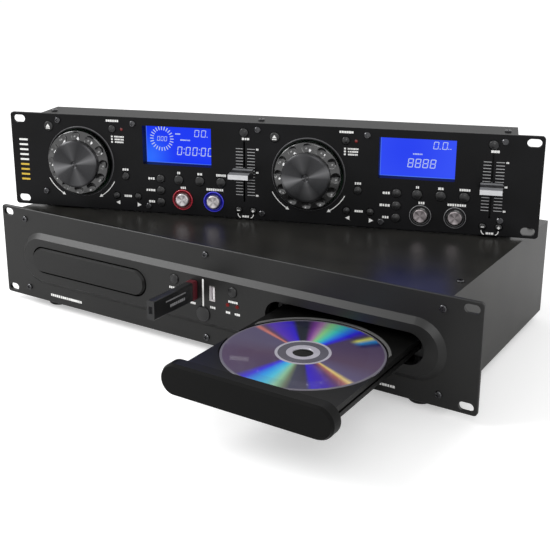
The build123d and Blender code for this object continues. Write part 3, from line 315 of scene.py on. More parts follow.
def grained(name, light, dark, roughness, grain, height, spread=0.06, patch=35.0, **sockets):
    """A finish with a fine grain in its surface and slow, faint changes of shade.

    grain and patch are sizes in millimetres, and height is the grain's depth."""
    material, tree, shader = new_finish(name, **sockets)
    place = node(tree, "ShaderNodeTexCoord").outputs["Object"]
    fine, slow = (
        node(tree, "ShaderNodeTexNoise", [("Vector", place), ("Scale", 1 / (size * MM)), ("Detail", detail)])
        for size, detail in ((grain, 2.0), (patch, 1.0))
    )
    shade = node(
        tree, "ShaderNodeMix",
        [("Factor", slow.outputs["Fac"]), ("A", hex_colour(dark)), ("B", hex_colour(light))],
        data_type="RGBA",
    )
    gloss = node(
        tree, "ShaderNodeMapRange",
        [("Value", fine.outputs["Fac"]), ("To Min", roughness - spread), ("To Max", roughness + spread)],
    )
    bump = node(
        tree, "ShaderNodeBump",
        [("Height", fine.outputs["Fac"]), ("Distance", height * MM), ("Strength", 1.0)],
    )
    tree.links.new(shade.outputs[2], shader.inputs["Base Color"])
    tree.links.new(gloss.outputs["Result"], shader.inputs["Roughness"])
    tree.links.new(bump.outputs["Normal"], shader.inputs["Normal"])
    return material


def satin_panel_paint(name, colour, gloss):
    """Aluminium sheet under satin black paint: even, with a faint orange peel that softens reflections."""
    return grained(name, colour, "0c0c0c", 0.4, 0.9, 0.004, Specular_IOR_Level=gloss)


def steel_paint(name, colour, roughness, gloss):
    """Folded steel under semi-gloss black paint: its fine grain blurs reflections into soft streaks."""
    return grained(name, colour, "141413", roughness, 0.5, 0.006, Specular_IOR_Level=gloss)


def moulded_abs(name, colour, gloss):
    """Injection-moulded ABS of the trays: satin black, a little smoother than the paint."""
    return grained(name, colour, "080808", 0.34, 0.6, 0.004, Specular_IOR_Level=gloss)


def loader_abs():
    """Unpainted ABS of the loaders inside, with a coarser mould texture."""
    return grained("loader_black_abs", "1c1c1d", "141415", 0.55, 0.8, 0.01)


def key_abs():
    """Small domed keys of ABS with a spark-eroded mould texture: dull black with a broad highlight."""
    return grained("spark_textured_key_abs", "1a1a1b", "121213", 0.3, 0.25, 0.003)


def polished_abs():
    """Polished black ABS of the jog wheels: deep black whose hollows gather soft highlights."""
    return grained(
        "polished_black_abs", "121213", "0c0c0d", 0.17, 6.0, 0.002, 0.03,
        Coat_Weight=0.5, Specular_IOR_Level=0.9,
    )


def rubber():
    """Moulded rubber of the feet: matt, with a dusty grain."""
    return grained("black_foot_rubber", "1c1c1c", "131313", 0.8, 0.4, 0.02)


def blackened_steel():
    """Pan-head screws in black zinc: dark metal whose edges and cross catch the light."""
    return grained("blackened_screw_steel", "606062", "3c3c3e", 0.24, 0.3, 0.003, Metallic=1.0)


def nickel():
    """Nickel-plated pressed steel of sockets and plugs: bright, a little soft from the press."""
    return grained("nickel_plated_steel", "d6d4d0", "bdbbb7", 0.24, 0.5, 0.003, Metallic=1.0)


def board_laminate():
    """Glass-epoxy board under green solder resist, with its weave just showing."""
    return grained("green_board_laminate", "1d5a34", "144326", 0.35, 0.7, 0.01, patch=9.0)


def plain(name, light, dark, roughness=0.45, **sockets):
    """Smooth moulded plastic in two near shades, for small trim."""
    return grained(name, light, dark, roughness, 0.4, 0.003, patch=12.0, **sockets)


def ink(name, colour):
    """Screen-printed ink: flat and dull, with a thin edge."""
    return grained(name, colour, colour, 0.6, 0.3, 0.002)


def spun(name, light, dark, roughness, wedges, groove, ripple):
    """Aluminium faced on a lathe: fine turned rings that stretch each reflection into wedges of light, and
    wedges of painted highlight in its colour.

    wedges pairs an angle in degrees, from the right, with how light the painted highlight makes the metal
    there, groove is a turned ring's width and ripple its contrast. The rings follow the piece's polar
    map: u is the share of a turn, and v the radius."""
    material, tree, shader = new_finish(
        name, Metallic=0.75, Anisotropic=0.6, Anisotropic_Rotation=0.25, Roughness=roughness
    )
    polar = node(tree, "ShaderNodeUVMap", uv_map="polar").outputs["UV"]
    parts = node(tree, "ShaderNodeSeparateXYZ", [("Vector", polar)])
    # Painted highlight: wedges of light painted into the base colour by the angle round the piece.
    wedge = node(
        tree, "ShaderNodeValToRGB", [("Fac", parts.outputs["X"])],
        [(angle / 360, (level, level, level, 1)) for angle, level in wedges],
    )
    # One turned ring is groove wide, coarser than the real cut so that it shows.
    turns = node(
        tree, "ShaderNodeMath",
        [(0, parts.outputs["Y"]), (1, POLAR_UNIT * math.tau / groove)], operation="MULTIPLY",
    )
    wave = node(tree, "ShaderNodeMath", [(0, turns.outputs[0])], operation="SINE")
    level = node(
        tree, "ShaderNodeMath",
        [(0, wave.outputs[0]), (1, ripple), (2, wedge.outputs["Color"])], operation="MULTIPLY_ADD",
    )
    shade = node(
        tree, "ShaderNodeMix",
        [("Factor", level.outputs[0]), ("A", hex_colour(dark)), ("B", hex_colour(light))],
        data_type="RGBA",
    )
    tangent = node(tree, "ShaderNodeTangent", direction_type="UV_MAP", uv_map="polar")
    tree.links.new(shade.outputs[2], shader.inputs["Base Color"])
    tree.links.new(tangent.outputs["Tangent"], shader.inputs["Tangent"])
    return material


def tinted_ring_painted_edge(name, shades, glow):
    """Tinted clear ring with a lamp under it: painted shade inside, and a painted highlight along its rounded
    edge.

    shades pairs a radius in millimetres with the ring's colour there, painted shade and highlight included."""
    material, tree, shader = new_finish(name, Roughness=0.12, Emission_Strength=glow)
    polar = node(tree, "ShaderNodeUVMap", uv_map="polar").outputs["UV"]
    parts = node(tree, "ShaderNodeSeparateXYZ", [("Vector", polar)])
    start, end = shades[0][0], shades[-1][0]
    across = node(
        tree, "ShaderNodeMapRange",
        [("Value", parts.outputs["Y"]), ("From Min", start / POLAR_UNIT), ("From Max", end / POLAR_UNIT)],
    )
    shade = node(
        tree, "ShaderNodeValToRGB", [("Fac", across.outputs["Result"])],
        [((radius - start) / (end - start), hex_colour(value)) for radius, value in shades],
    )
    for socket in ("Base Color", "Emission Color"):
        tree.links.new(shade.outputs["Color"], shader.inputs[socket])
    return material


def glowing(name, colour, edge_colour, strength, spot, reach, gloss=0.1):
    """A lit window or lens: its light is even in the middle and changes shade towards its edge.

    spot is the brightest place, and reach is how far its shade holds, both in the frame's metres."""
    material, tree, shader = new_finish(
        name, Base_Color=hex_colour("05050a"), Roughness=0.3, Emission_Strength=strength,
        Specular_IOR_Level=gloss,
    )
    place = node(tree, "ShaderNodeTexCoord").outputs["Object"]
    away = node(tree, "ShaderNodeVectorMath", [(0, place), (1, spot)], operation="DISTANCE")
    fall = node(
        tree, "ShaderNodeMapRange", [("Value", away.outputs["Value"]), ("From Max", reach)],
        interpolation_type="SMOOTHSTEP",
    )
    shade = node(
        tree, "ShaderNodeMix",
        [("Factor", fall.outputs["Result"]), ("A", hex_colour(colour)), ("B", hex_colour(edge_colour))],
        data_type="RGBA",
    )
    tree.links.new(shade.outputs[2], shader.inputs["Emission Color"])
    return material


# ==== helpers for repeated marks, grown by Geometry Nodes ====
def new_tree(name, inputs):
    """A geometry tree with named inputs and a finish, and the node that holds them."""
    tree = bpy.data.node_groups.new(name, "GeometryNodeTree")
    for label, kind, value in (*inputs, ("Finish", "Material", None)):
        socket = tree.interface.new_socket(label, in_out="INPUT", socket_type="NodeSocket" + kind)
        if value is not None:
            socket.default_value = value
    tree.interface.new_socket("Geometry", in_out="OUTPUT", socket_type="NodeSocketGeometry")
    return tree, tree.nodes.new("NodeGroupInput")


def end_tree(tree, given, points, size, *links):
    """Ends a tree: a block of the given size on each point, as real geometry with its finish."""
    block = node(tree, "GeometryNodeMeshCube", [("Size", given.outputs[size])])
    placed = node(
        tree, "GeometryNodeInstanceOnPoints",
        [("Points", points.outputs["Mesh"]), ("Instance", block.outputs["Mesh"]), *links],
    )
    real = node(tree, "GeometryNodeRealizeInstances", [("Geometry", placed.outputs["Instances"])])
    dressed = node(
        tree, "GeometryNodeSetMaterial",
        [("Geometry", real.outputs[0]), ("Material", given.outputs["Finish"])],
    )
    end = tree.nodes.new("NodeGroupOutput")
    tree.links.new(dressed.outputs[0], end.inputs[0])
    return tree


def tick_row_tree():
    """A row of equal printed ticks."""
    tree, given = new_tree("tick_row", [
        ("Count", "Int", 5), ("Step", "Vector", (0, 2.8, 0)), ("Tick size", "Vector", (6, 0.3, PRINT)),
    ])
    line = node(tree, "GeometryNodeMeshLine", [("Count", given.outputs["Count"])])
    tree.links.new(given.outputs["Step"], line.inputs["Offset"])
    return end_tree(tree, given, line, "Tick size")


def ray_ring_tree():
    """A ring of equal rays that point away from its middle."""
    tree, given = new_tree("ray_ring", [
        ("Count", "Int", 32), ("Radius", "Float", 9.5), ("Ray size", "Vector", (4, 0.5, PRINT)),
    ])
    count = given.outputs["Count"]
    circle = node(tree, "GeometryNodeMeshCircle", [("Vertices", count), ("Radius", given.outputs["Radius"])])
    turn = node(tree, "ShaderNodeMath", [(0, math.tau), (1, count)], operation="DIVIDE")
    number = node(tree, "GeometryNodeInputIndex")
    angle = node(
        tree, "ShaderNodeMath", [(0, number.outputs[0]), (1, turn.outputs[0])], operation="MULTIPLY"
    )
    spin = node(tree, "ShaderNodeCombineXYZ", [("Z", angle.outputs[0])])
    return end_tree(tree, given, circle, "Ray size", ("Rotation", spin.outputs[0]))


def label_block_tree():
    """A row of small uneven blocks that stands for a line of small print, and says nothing."""
    tree, given = new_tree("label_blocks", [
        ("Count", "Int", 4), ("Pitch", "Float", 1.3), ("Block size", "Vector", (1, 1.6, PRINT)),
        ("Seed", "Int", 0),
    ])
    step = node(tree, "ShaderNodeCombineXYZ", [("X", given.outputs["Pitch"])])
    line = node(
        tree, "GeometryNodeMeshLine", [("Count", given.outputs["Count"]), ("Offset", step.outputs[0])]
    )
    uneven = node(
        tree, "FunctionNodeRandomValue", [("Seed", given.outputs["Seed"])], data_type="FLOAT_VECTOR"
    )
    uneven.inputs[0].default_value = (0.65, 0.85, 1.0)
    uneven.inputs[1].default_value = (0.95, 1.0, 1.0)
    return end_tree(tree, given, line, "Block size", ("Scale", uneven.outputs[0]))


def grown(tree, **values):
    """The plain mesh that a tree makes from these named inputs."""
    start = added(tree.name, bpy.data.meshes.new(tree.name))
    modifier = start.modifiers.new(tree.name, "NODES")
    modifier.node_group = tree
    for item in tree.interface.items_tree:
        key = item.name.replace(" ", "_").lower()
        if item.in_out == "INPUT" and key in values:
            modifier[item.identifier] = values[key]
    start.update_tag()
    evaluated = start.evaluated_get(bpy.context.evaluated_depsgraph_get())
    mesh = bpy.data.meshes.new_from_object(evaluated)
    bpy.data.objects.remove(start)
    return mesh


def tree_named(name, make):
    """A geometry tree, made the first time that it is asked for."""
    return bpy.data.node_groups.get(name) or make()


def printed_words(drawing, x, z, width, height, low, finish=0, thick=PRINT):
    """A line of blocks in place of small print, from its middle, its width and its height."""
    pitch = height * BLOCK_PITCH
    count = max(2, round(width / pitch))
    pitch = width / count
    mesh = grown(
        tree_named("label_blocks", label_block_tree),
        count=count,
        pitch=pitch,
        block_size=(pitch, height, thick),
        seed=int(abs(x) * 7 + abs(z) * 3),
    )
    drawing.take(mesh, x - width / 2 + pitch / 2, z, low + thick / 2, finish)


# ==== settings that a user would change ====
def colour_setting(name, description, value):
    """A colour that starts as an sRGB hex value."""
    return FloatVectorProperty(
        name=name, description=description, subtype="COLOR", size=4, min=0, max=1, default=hex_colour(value)
    )


def length_setting(name, description, value):
    """A length in metres."""
    return FloatProperty(name=name, description=description, default=value, unit="LENGTH")


class FinishSettings(bpy.types.PropertyGroup):
    """Colours of the shells and of the printing."""

    panel_black: colour_setting("Panel", "Satin paint of the two front panels", "151514")
    cover_black: colour_setting("Covers", "Textured paint of the chassis and covers", "2e2d2a")
    print_white: colour_setting("Printing", "Screen-printed marks", "f0f0ee")
    tick_grey: colour_setting("Scale ticks", "Ticks beside the pitch faders", "a6a6a7")


class ControlSettings(bpy.types.PropertyGroup):
    """Sizes of the controls' small forms."""

    finger_dimples: IntProperty(
        name="Finger dimples", description="Hollows round each jog wheel", default=12, min=3, max=24,
    )
    dimple_depth: length_setting("Dimple depth", "Depth of each hollow", 0.002)
    ticks: IntProperty(
        name="Scale ticks", description="Ticks on each side of a fader", default=16, min=3, max=40,
    )
    tick_step: length_setting("Tick step", "From one tick to the next", 0.00281)


class DisplaySettings(bpy.types.PropertyGroup):
    """Light of the displays, rings and lamps."""

    first_blue: colour_setting("First display", "Backlight of the left display", "1436f2")
    second_blue: colour_setting("Second display", "Backlight of the right display", "2440f0")
    segment_white: colour_setting("Segments", "Lit figures on the displays", "c2d2ff")
    glow: FloatProperty(
        name="Glow", description="Strength of the backlights", default=1.0, min=0, max=3,
    )


class DiscSettings(bpy.types.PropertyGroup):
    """The disc in the second tray."""

    foil: colour_setting("Foil", "Recorded side under its dye", "5c5470")
    rim: length_setting("Rim", "Width of the outer rim, which has no foil", 0.0018)
    hub: length_setting("Hub radius", "Radius of the middle, which has no foil", 0.0205)


class StageSettings(bpy.types.PropertyGroup):
    """Camera, floor and light."""

    camera_place: FloatVectorProperty(
        name="Camera", description="Place of the camera", subtype="TRANSLATION",
        size=3, default=(0.44194, -0.64427, 0.33410),
    )
    camera_turn: FloatVectorProperty(
        name="Camera angles", description="Turn to the left, tilt down and roll", subtype="EULER",
        size=3, default=tuple(math.radians(angle) for angle in (32.126, 16.320, 0.220)),
    )
    focal_length: FloatProperty(
        name="Focal length", description="In millimetres, on a sensor 36 mm wide",
        default=61.33, min=10, max=300,
    )
    floor_tone: colour_setting("Floor", "Colour of the floor", "ededed")
    lamp_power: FloatProperty(
        name="Lamp", description="Power of the main lamp", default=26.0, unit="POWER", min=0,
    )


class PlayerSettings(bpy.types.PropertyGroup):
    """All settings of the player's scene."""

    finish: PointerProperty(type=FinishSettings)
    control: PointerProperty(type=ControlSettings)
    display: PointerProperty(type=DisplaySettings)
    disc: PointerProperty(type=DiscSettings)
    stage: PointerProperty(type=StageSettings)


# ==== pieces of the player ====
BEZEL_MIDDLE = 32.0  # radius between a jog bezel's inner and outer edges
BOARD_FRONT = 12.5  # depths of the controller board's two faces
BOARD_BACK = 14.1
# The lip's grey is painted highlight, where the well's edge catches the light.
LIP_HEIGHT = 0.9  # of the grey lip round a tray's well
DOME_SHARE = 0.3  # of a key's height
DOME_RINGS = (0.85, 0.7, 0.5, 0.3)  # shares of the way from a dome's top to its rim
DOME_SHARP = 50.0
DECKS = ((1, 0.0), (2, DECK_PITCH))
ROUND_KEYS = (
    "eject_key", "jog_mode_key", "plus_ten_key", "time_key", "single_key", "program_key",
    "loop_in_key", "loop_out_key", "reloop_key", "pitch_key", "track_keys", "bend_keys",
)


def dress(names, finish):
    """Gives carried-over CAD nodes one finish."""
    for name in names:
        carried = frame["nodes"][name]
        if not carried.material_slots:
            carried.data.materials.append(None)
        for place in carried.material_slots:
            place.material = finish


def out_from(unit, point):
    """How far a point of the frame is out from a unit's panel, in millimetres."""
    return (Vector(point) - unit.origin).dot(unit.outward) / MM


def rims(lines):
    """The closed loops of vertices that boundary edges make, in an order that follows the edges'."""
    left = dict.fromkeys(lines)
    while left:
        line = left.popitem()[0]
        loop = [*line.verts]
        while loop[-1] is not loop[0]:
            after = next(edge for edge in loop[-1].link_edges if edge in left)
            del left[after]
            loop.append(after.other_vert(loop[-1]))
        yield loop[:-1]


def domed_key(name, unit, base, finish):
    """A key whose flat top becomes a shallow dome, no higher than the flat top was.

    base is the distance out of the surface that the key stands on."""
    made = merged(name)
    top = max(out_from(unit, vert.co) for vert in made.verts)
    flat = [
        face for face in made.faces
        if face.normal.dot(unit.outward) > 0.999 and out_from(unit, face.calc_center_median()) > top - 0.01
    ]
    rise = (top - base) * DOME_SHARE
    for vert in made.verts:
        above = out_from(unit, vert.co) - base
        if above > 0:
            vert.co -= unit.outward * above * DOME_SHARE * MM
    bmesh.ops.delete(made, geom=flat, context="FACES")
    for rim in list(rims([line for line in made.edges if line.is_boundary])):
        middle = sum((vert.co for vert in rim), Vector()) / len(rim)
        outer = rim
        for share in DOME_RINGS:
            lift = unit.outward * rise * (1 - share * share) * MM
            inner = [made.verts.new(middle + (vert.co - middle) * share + lift) for vert in rim]
            for i in range(len(rim)):
                j = (i + 1) % len(rim)
                made.faces.new((outer[i], outer[j], inner[j], inner[i]))
            outer = inner
        tip = made.verts.new(middle + unit.outward * rise * MM)
        for i in range(len(rim)):
            made.faces.new((outer[i], outer[(i + 1) % len(rim)], tip))
    bmesh.ops.recalc_face_normals(made, faces=made.faces)
    for face in made.faces:
        face.material_index = 0
    mount(made, f"{name}_dressed", name, [finish], (name,), DOME_SHARP)


def both(*names):
    """Names of the first and the second deck's nodes."""
    return [f"{name}_{deck}" for name in names for deck, _ in DECKS]


class PLAYER_OT_shells(bpy.types.Operator):
    """Paint, rubber, screws and moulded plastic of the parts that keep their CAD shape"""

    bl_idname = "disc_player.shells"
    bl_label = "Shells and moulded parts"

    def execute(self, context):
        colours = context.scene.disc_player.finish
        dress(
            ["player_front_panel"],
            satin_panel_paint("satin_black_player_paint", colours.panel_black, 0.42),
        )
        copy_of(
            "controller_front_panel", "controller",
            [
                satin_panel_paint("satin_black_controller_paint", "18181a", 0.12),
                # Painted highlight: grey on the bezels' outer sloped edges, where they catch the light.
                grained("worn_bezel_edge_paint", "5c5c5e", "48484a", 0.35, 0.9, 0.004),
            ],
            self.panel_face,
        )
        dress(
            ["player_chassis", "player_top_cover"],
            steel_paint("semi_gloss_black_player_steel", colours.cover_black, 0.3, 0.3),
        )
        dress(
            ["controller_base", "controller_cover"],
            steel_paint("satin_black_controller_steel", "161617", 0.45, 0.15),
        )
        dress(["tray_front_1"], moulded_abs("satin_black_tray_abs", "131312", 0.38))
        # Painted shade: the second tray front is the same moulding as the first, given a darker, duller copy
        # of its finish.
        dress(["tray_front_2"], moulded_abs("matt_black_tray_abs", "0d0d0c", 0.1))
        tray_black = moulded_abs("black_tray_abs", "0c0c0b", 0.2)
        # Painted highlight: the top of each well's wall is grey, where its edge catches the light.
        lip_highlight = plain("grey_lip_abs", "6b6b6a", "595958", 0.3)
        lip_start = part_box("tray_2")[1].z - LIP_HEIGHT * MM
        for name in both("tray"):
            # The cut parts the well's wall where the lip starts, so that no triangle spans both finishes.
            copy_of(
                name, name, [tray_black, lip_highlight],
                lambda middle, normal: 1 if middle.z > lip_start else 0, [((0, 0, lip_start), UP)],
            )
        dress(["loader_frames"], loader_abs())
        dress(["player_feet"], rubber())
        dress(["player_screws", "controller_screws"], blackened_steel())
        copy_of(
            "controller_board", "controller",
            [board_laminate(), plain("switch_black_abs", "161617", "101011", 0.5)],
            self.board_face,
        )
        key_finish = key_abs()
        for name in both(*ROUND_KEYS):
            domed_key(name, CONTROLLER, 0.0, key_finish)
        for name in (*both("source_key"), "power_button"):
            domed_key(name, PLAYER, BOSS_PROUD, key_finish)
        dress(both("spindle"), plain("turntable_grey_abs", "4a4a4c", "3c3c3e"))
        dress(both("pickup"), plain("cast_zinc_sled", "8f9092", "77787a", 0.4, Metallic=1.0))
        return {"FINISHED"}

    @staticmethod
    def board_face(middle, normal):
        """Laminate for the board's two faces, and black for all that stands on them."""
        out = out_from(CONTROLLER, middle)
        return 0 if -BOARD_BACK - SLACK < out < SLACK - BOARD_FRONT else 1

    @staticmethod
    def panel_face(middle, normal):
        """The sloped outer edges of the jog bezels, painted lighter as a highlight, apart from the rest of
        the panel.
        """
        on_slope = normal.dot(CONTROLLER.outward) < 0.95 and out_from(CONTROLLER, middle) > SLACK
        x, z = JOG_SPOT
        away = min((middle - CONTROLLER.place(x + shift, z)).length for _, shift in DECKS)
        return 1 if on_slope and away > BEZEL_MIDDLE * MM else 0


# Small print on the player's raised field: x, z, width, height.
FIELD_WORDS = (
    (30.3, 45.8, 9.5, 2.1), (-31.4, 46.3, 9.5, 2.1),
    (25.3, 35.8, 4.5, 2.1), (-25.3, 35.8, 4.5, 2.1),
    (34.5, 35.8, 5.5, 2.1), (-34.5, 35.8, 5.5, 2.1),
    (9.7, 36.8, 5.5, 2.1), (-10.7, 36.8, 5.5, 2.1),
)
CORNER_WORDS = ((-163.5, 7.5, 40.0, 2.6), (164.0, 6.5, 24.0, 2.2))  # on the panel round the field
FIELD_LINE = (0.0, 48.0, 1.6, 24.4)  # the printed line down the middle


class PLAYER_OT_player_marks(bpy.types.Operator):
    """Printed line and small print on the player's panel, as plain blocks"""

    bl_idname = "disc_player.player_marks"
    bl_label = "Player's printed marks"

    def execute(self, context):
        white = ink("white_screen_print_player", context.scene.disc_player.finish.print_white)
        marks = Drawing(PLAYER.grid())
        marks.bar(*FIELD_LINE, BOSS_PROUD, BOSS_PROUD + PRINT)
        for words, surface in ((FIELD_WORDS, BOSS_PROUD), (CORNER_WORDS, 0.0)):
            for x, z, width, height in words:
                printed_words(marks, x, z, width, height, surface)
        marks.piece("player_printing", "player", [white], "black_painted_aluminium")
        return {"FINISHED"}


KEY_BOARD_DEPTH = 16.0
LEVEL_BOARDS_DEPTH = 19.0  # where they start
BOARD_TOP = 13.6  # of the level boards, above the panel's lower edge
LAMP_X = (25.0, 34.5)
LAMP_Z = 42.5
LAMP_HALF = 2.0
PORT_X = 9.6
PORT_Z = 49.2
PORT_INSIDE = (2.6, 6.4, 9.0)  # half width and height of the opening, and its depth
STICK_COLLAR_BACK = 4.5  # distance out, as the others of the stick
STICK_COLLAR_FRONT = 10.5
STICK_END = 61.0
STICK_NOTCH = (4.0, 6.5, 3.5)
STICK_SIDE = 3.8  # its right side from its middle
# Small print on the stick's side: distance towards the back, z from its middle, width, height.
STICK_WORDS = ((-33.0, 3.0, 26.0, 1.3), (-31.0, -2.0, 20.0, 2.6))


def on_player(point):
    """A point of the frame as x, z and distance out on the player's panel, in millimetres."""
    away = (Vector(point) - PLAYER.origin) / MM
    return away.dot(PLAYER.right), away.z, away.dot(PLAYER.outward)


class PLAYER_OT_ports(bpy.types.Operator):
    """USB sockets, memory stick, and the boards with their lamps"""

    bl_idname = "disc_player.ports"
    bl_label = "Ports, stick and lamps"

    def execute(self, context):
        def board_face(middle, normal):
            x, z, out = on_player(middle)
            near_lamp = min(abs(abs(x) - lamp) for lamp in LAMP_X) < LAMP_HALF and abs(z - LAMP_Z) < LAMP_HALF
            if near_lamp and out > SLACK - KEY_BOARD_DEPTH:
                return 1
            return 2 if z > BOARD_TOP + SLACK and out < -LEVEL_BOARDS_DEPTH else 0

        lamp_red = glowing(
            "dim_red_lamp", "b8302a", "5a1512", 0.35, PLAYER.place(LAMP_X[0], LAMP_Z, BOSS_PROUD), 0.03
        )
        chip_black = plain("chip_epoxy", "1d1d1f", "151517", 0.5)
        copy_of(
            "player_boards", "player", [board_laminate(), lamp_red, chip_black], board_face
        )

        def socket_face(middle, normal):
            x, z, out = on_player(middle)
            half_width, half_height, depth = PORT_INSIDE
            across, up = abs(abs(x) - PORT_X), abs(z - PORT_Z)
            return 1 if across < half_width and up < half_height and out > -depth else 0

        copy_of(
            "usb_sockets", "player",
            [nickel(), plain("bright_socket_inside", "ece8ea", "dcd8da", 0.4)],
            socket_face,
        )

        def stick_face(middle, normal):
            x, z, out = on_player(middle)
            if out < STICK_COLLAR_BACK + SLACK / 2:
                return 0
            if out < STICK_COLLAR_FRONT + SLACK / 2:
                return 1
            width, height, depth = STICK_NOTCH
            across, up = abs(x + PORT_X), abs(z - PORT_Z)
            in_notch = across < (width + SLACK) / 2 and up < (height + SLACK) / 2
            return 3 if in_notch and out > STICK_END - depth - SLACK else 2

        copy_of(
            "usb_stick", "usb_stick",
            [
                nickel(),
                plain("burgundy_collar_abs", "5e1822", "48101a", 0.4),
                plain("black_stick_abs", "1a1a1b", "121213", 0.35),
                plain("grey_notch_abs", "4a4a4c", "3c3c3e"),
            ],
            stick_face,
        )
        side = Unit(PLAYER.place(STICK_SIDE - PORT_X, PORT_Z), (1, 0, 0), "usb_stick")
        words = Drawing(side.grid())
        for x, z, width, height in STICK_WORDS:
            printed_words(words, x, z, width, height, 0.0)
        words.piece("usb_stick_printing", "usb_stick", [ink("grey_pad_print", "8a8a8c")], "stick_plastic")
        return {"FINISHED"}


WALL = 228.5  # depth of the player's back wall
JACKS_FROM = 100.0  # all that stands further right than this is jacks
PHONO_X = (120.0, 160.0)
PHONO_Z = (36.0, 54.0)
PHONO_RADII = (1.7, 3.9, 5.6)  # of the hole, the insulator and the coloured collar
PHONO_DEPTHS = (1.05, 9.4)  # behind the wall: where the collar has ended, and where the insulator shows
LINK_X = (10.0, 60.0)
LINK_Z = 45.0
LINK_INSIDE = (7.0, 3.0)  # half width and height of its opening
LINK_END = 5.4  # behind the wall, where its black face shows
INLET_SPOT = (-165.0, 40.0)
PIN_FIELD = (9.0, 6.5)  # half width and height of the field that the inlet's pins stand in
PIN_DEPTHS = (14.0, 4.0)  # in front of the wall, from their foot to their end
PIN_PITCH = 7.0
PIN_WIDTH = 1.2


class PLAYER_OT_rear_sockets(bpy.types.Operator):
    """Audio jacks, link sockets and mains inlet on the back"""

    bl_idname = "disc_player.rear_sockets"
    bl_label = "Rear sockets"

    def execute(self, context):
        copy_of(
            "rear_sockets", "player",
            [
                nickel(),
                plain("socket_black_abs", "19191b", "121214", 0.45),
                plain("jack_red_abs", "9c2a26", "84201d", 0.45),
                plain("jack_white_abs", "d8d6d0", "c6c4be", 0.45),
            ],
            self.socket_face,
        )
        return {"FINISHED"}

    @staticmethod
    def socket_face(middle, normal):
        """Nickel, black, or a jack's red or white, by the place on the back."""
        x, z, out = on_player(middle)
        behind = -out - WALL
        if x > JACKS_FROM:
            row = min(PHONO_Z, key=lambda height: abs(height - z))
            column = min(PHONO_X, key=lambda across: abs(across - x))
            away = math.hypot(x - column, z - row)
            hole, insulator, collar = PHONO_RADII
            if behind > PHONO_DEPTHS[0]:
                return 1 if away < hole or (away < insulator and behind > PHONO_DEPTHS[1]) else 0
            if behind > -SLACK and away < collar:
                return 2 if row == PHONO_Z[0] else 3
            return 1
        if x > 0:
            across = min(abs(x - link) for link in LINK_X)
            inside = across < LINK_INSIDE[0] and abs(z - LINK_Z) < LINK_INSIDE[1] and abs(normal.y) < 0.7
            return 1 if behind > LINK_END or inside else 0
        across, up = abs(x - INLET_SPOT[0]), abs(z - INLET_SPOT[1])
        in_field = across < PIN_FIELD[0] and up < PIN_FIELD[1] and -PIN_DEPTHS[0] < behind < -PIN_DEPTHS[1]
        return 0 if in_field and across % PIN_PITCH < PIN_WIDTH else 1


DISC_R = 60.0
DISC_HOLE_R = 7.5
DISC_HALF = 0.6  # of its thickness
DISC_ROUNDING = 0.3
# The hub's light rings are painted highlights, where the clear plastic catches the light.
HUB_LIGHT = 12.3  # outer radius of the hub's thick, light ring
HUB_RING = (18.4, 19.8)  # moulded stacking ring
FOIL_RINGS = (30, 38, 46, 52)  # radii at which the foil's face is parted
# Pairs of radii in metres, from where a change starts to where it is complete.
FAN_START = (0.038, 0.047)  # of the second fan of colours
BAND_END = (0.0465, 0.0475)  # of the recorded band, outside which lies a blank one
BLANK_GREY = 0.12  # how much of the foil's grey the blank band has
# Painted diffracted light: colour of the disc's spokes by the angle in degrees from the frame's X axis, all
# the way out.
DISC_SPOKES = (
    (-180, "5c5470"), (-150, "58465f"), (-112, "50405e"), (-104, "3c30e0"), (-96, "2c9cf0"), (-87, "50c8e4"),
    (-79, "90c8a0"), (-73, "6c7860"), (-69, "3a3c50"), (-57, "343048"), (-54, "2c08c4"), (-44, "3a14ac"),
    (-36, "5c3468"), (-30, "a86058"), (-27, "ecd07c"), (-23, "5c5478"), (2, "54405a"), (64, "4a3c60"),
    (72, "2c1ce4"), (79, "2c80f4"), (88, "48d4c4"), (97, "90dc90"), (104, "b080b0"), (110, "7c3c98"),
    (116, "1c2430"), (126, "1c2030"), (130, "3018d0"), (146, "5a34bc"), (153, "5c4460"), (157, "e48878"),
    (160, "5c5474"), (180, "5c5470"),
)
# The second fan of painted diffracted light; its alpha says how much of it shows.
RIM_SPOKES = (
    (40, "100c60", 0.0), (46, "0c0a58", 1.0), (52, "2088d0", 1.0), (58, "e0e060", 1.0), (64, "100c48", 0.0),
)


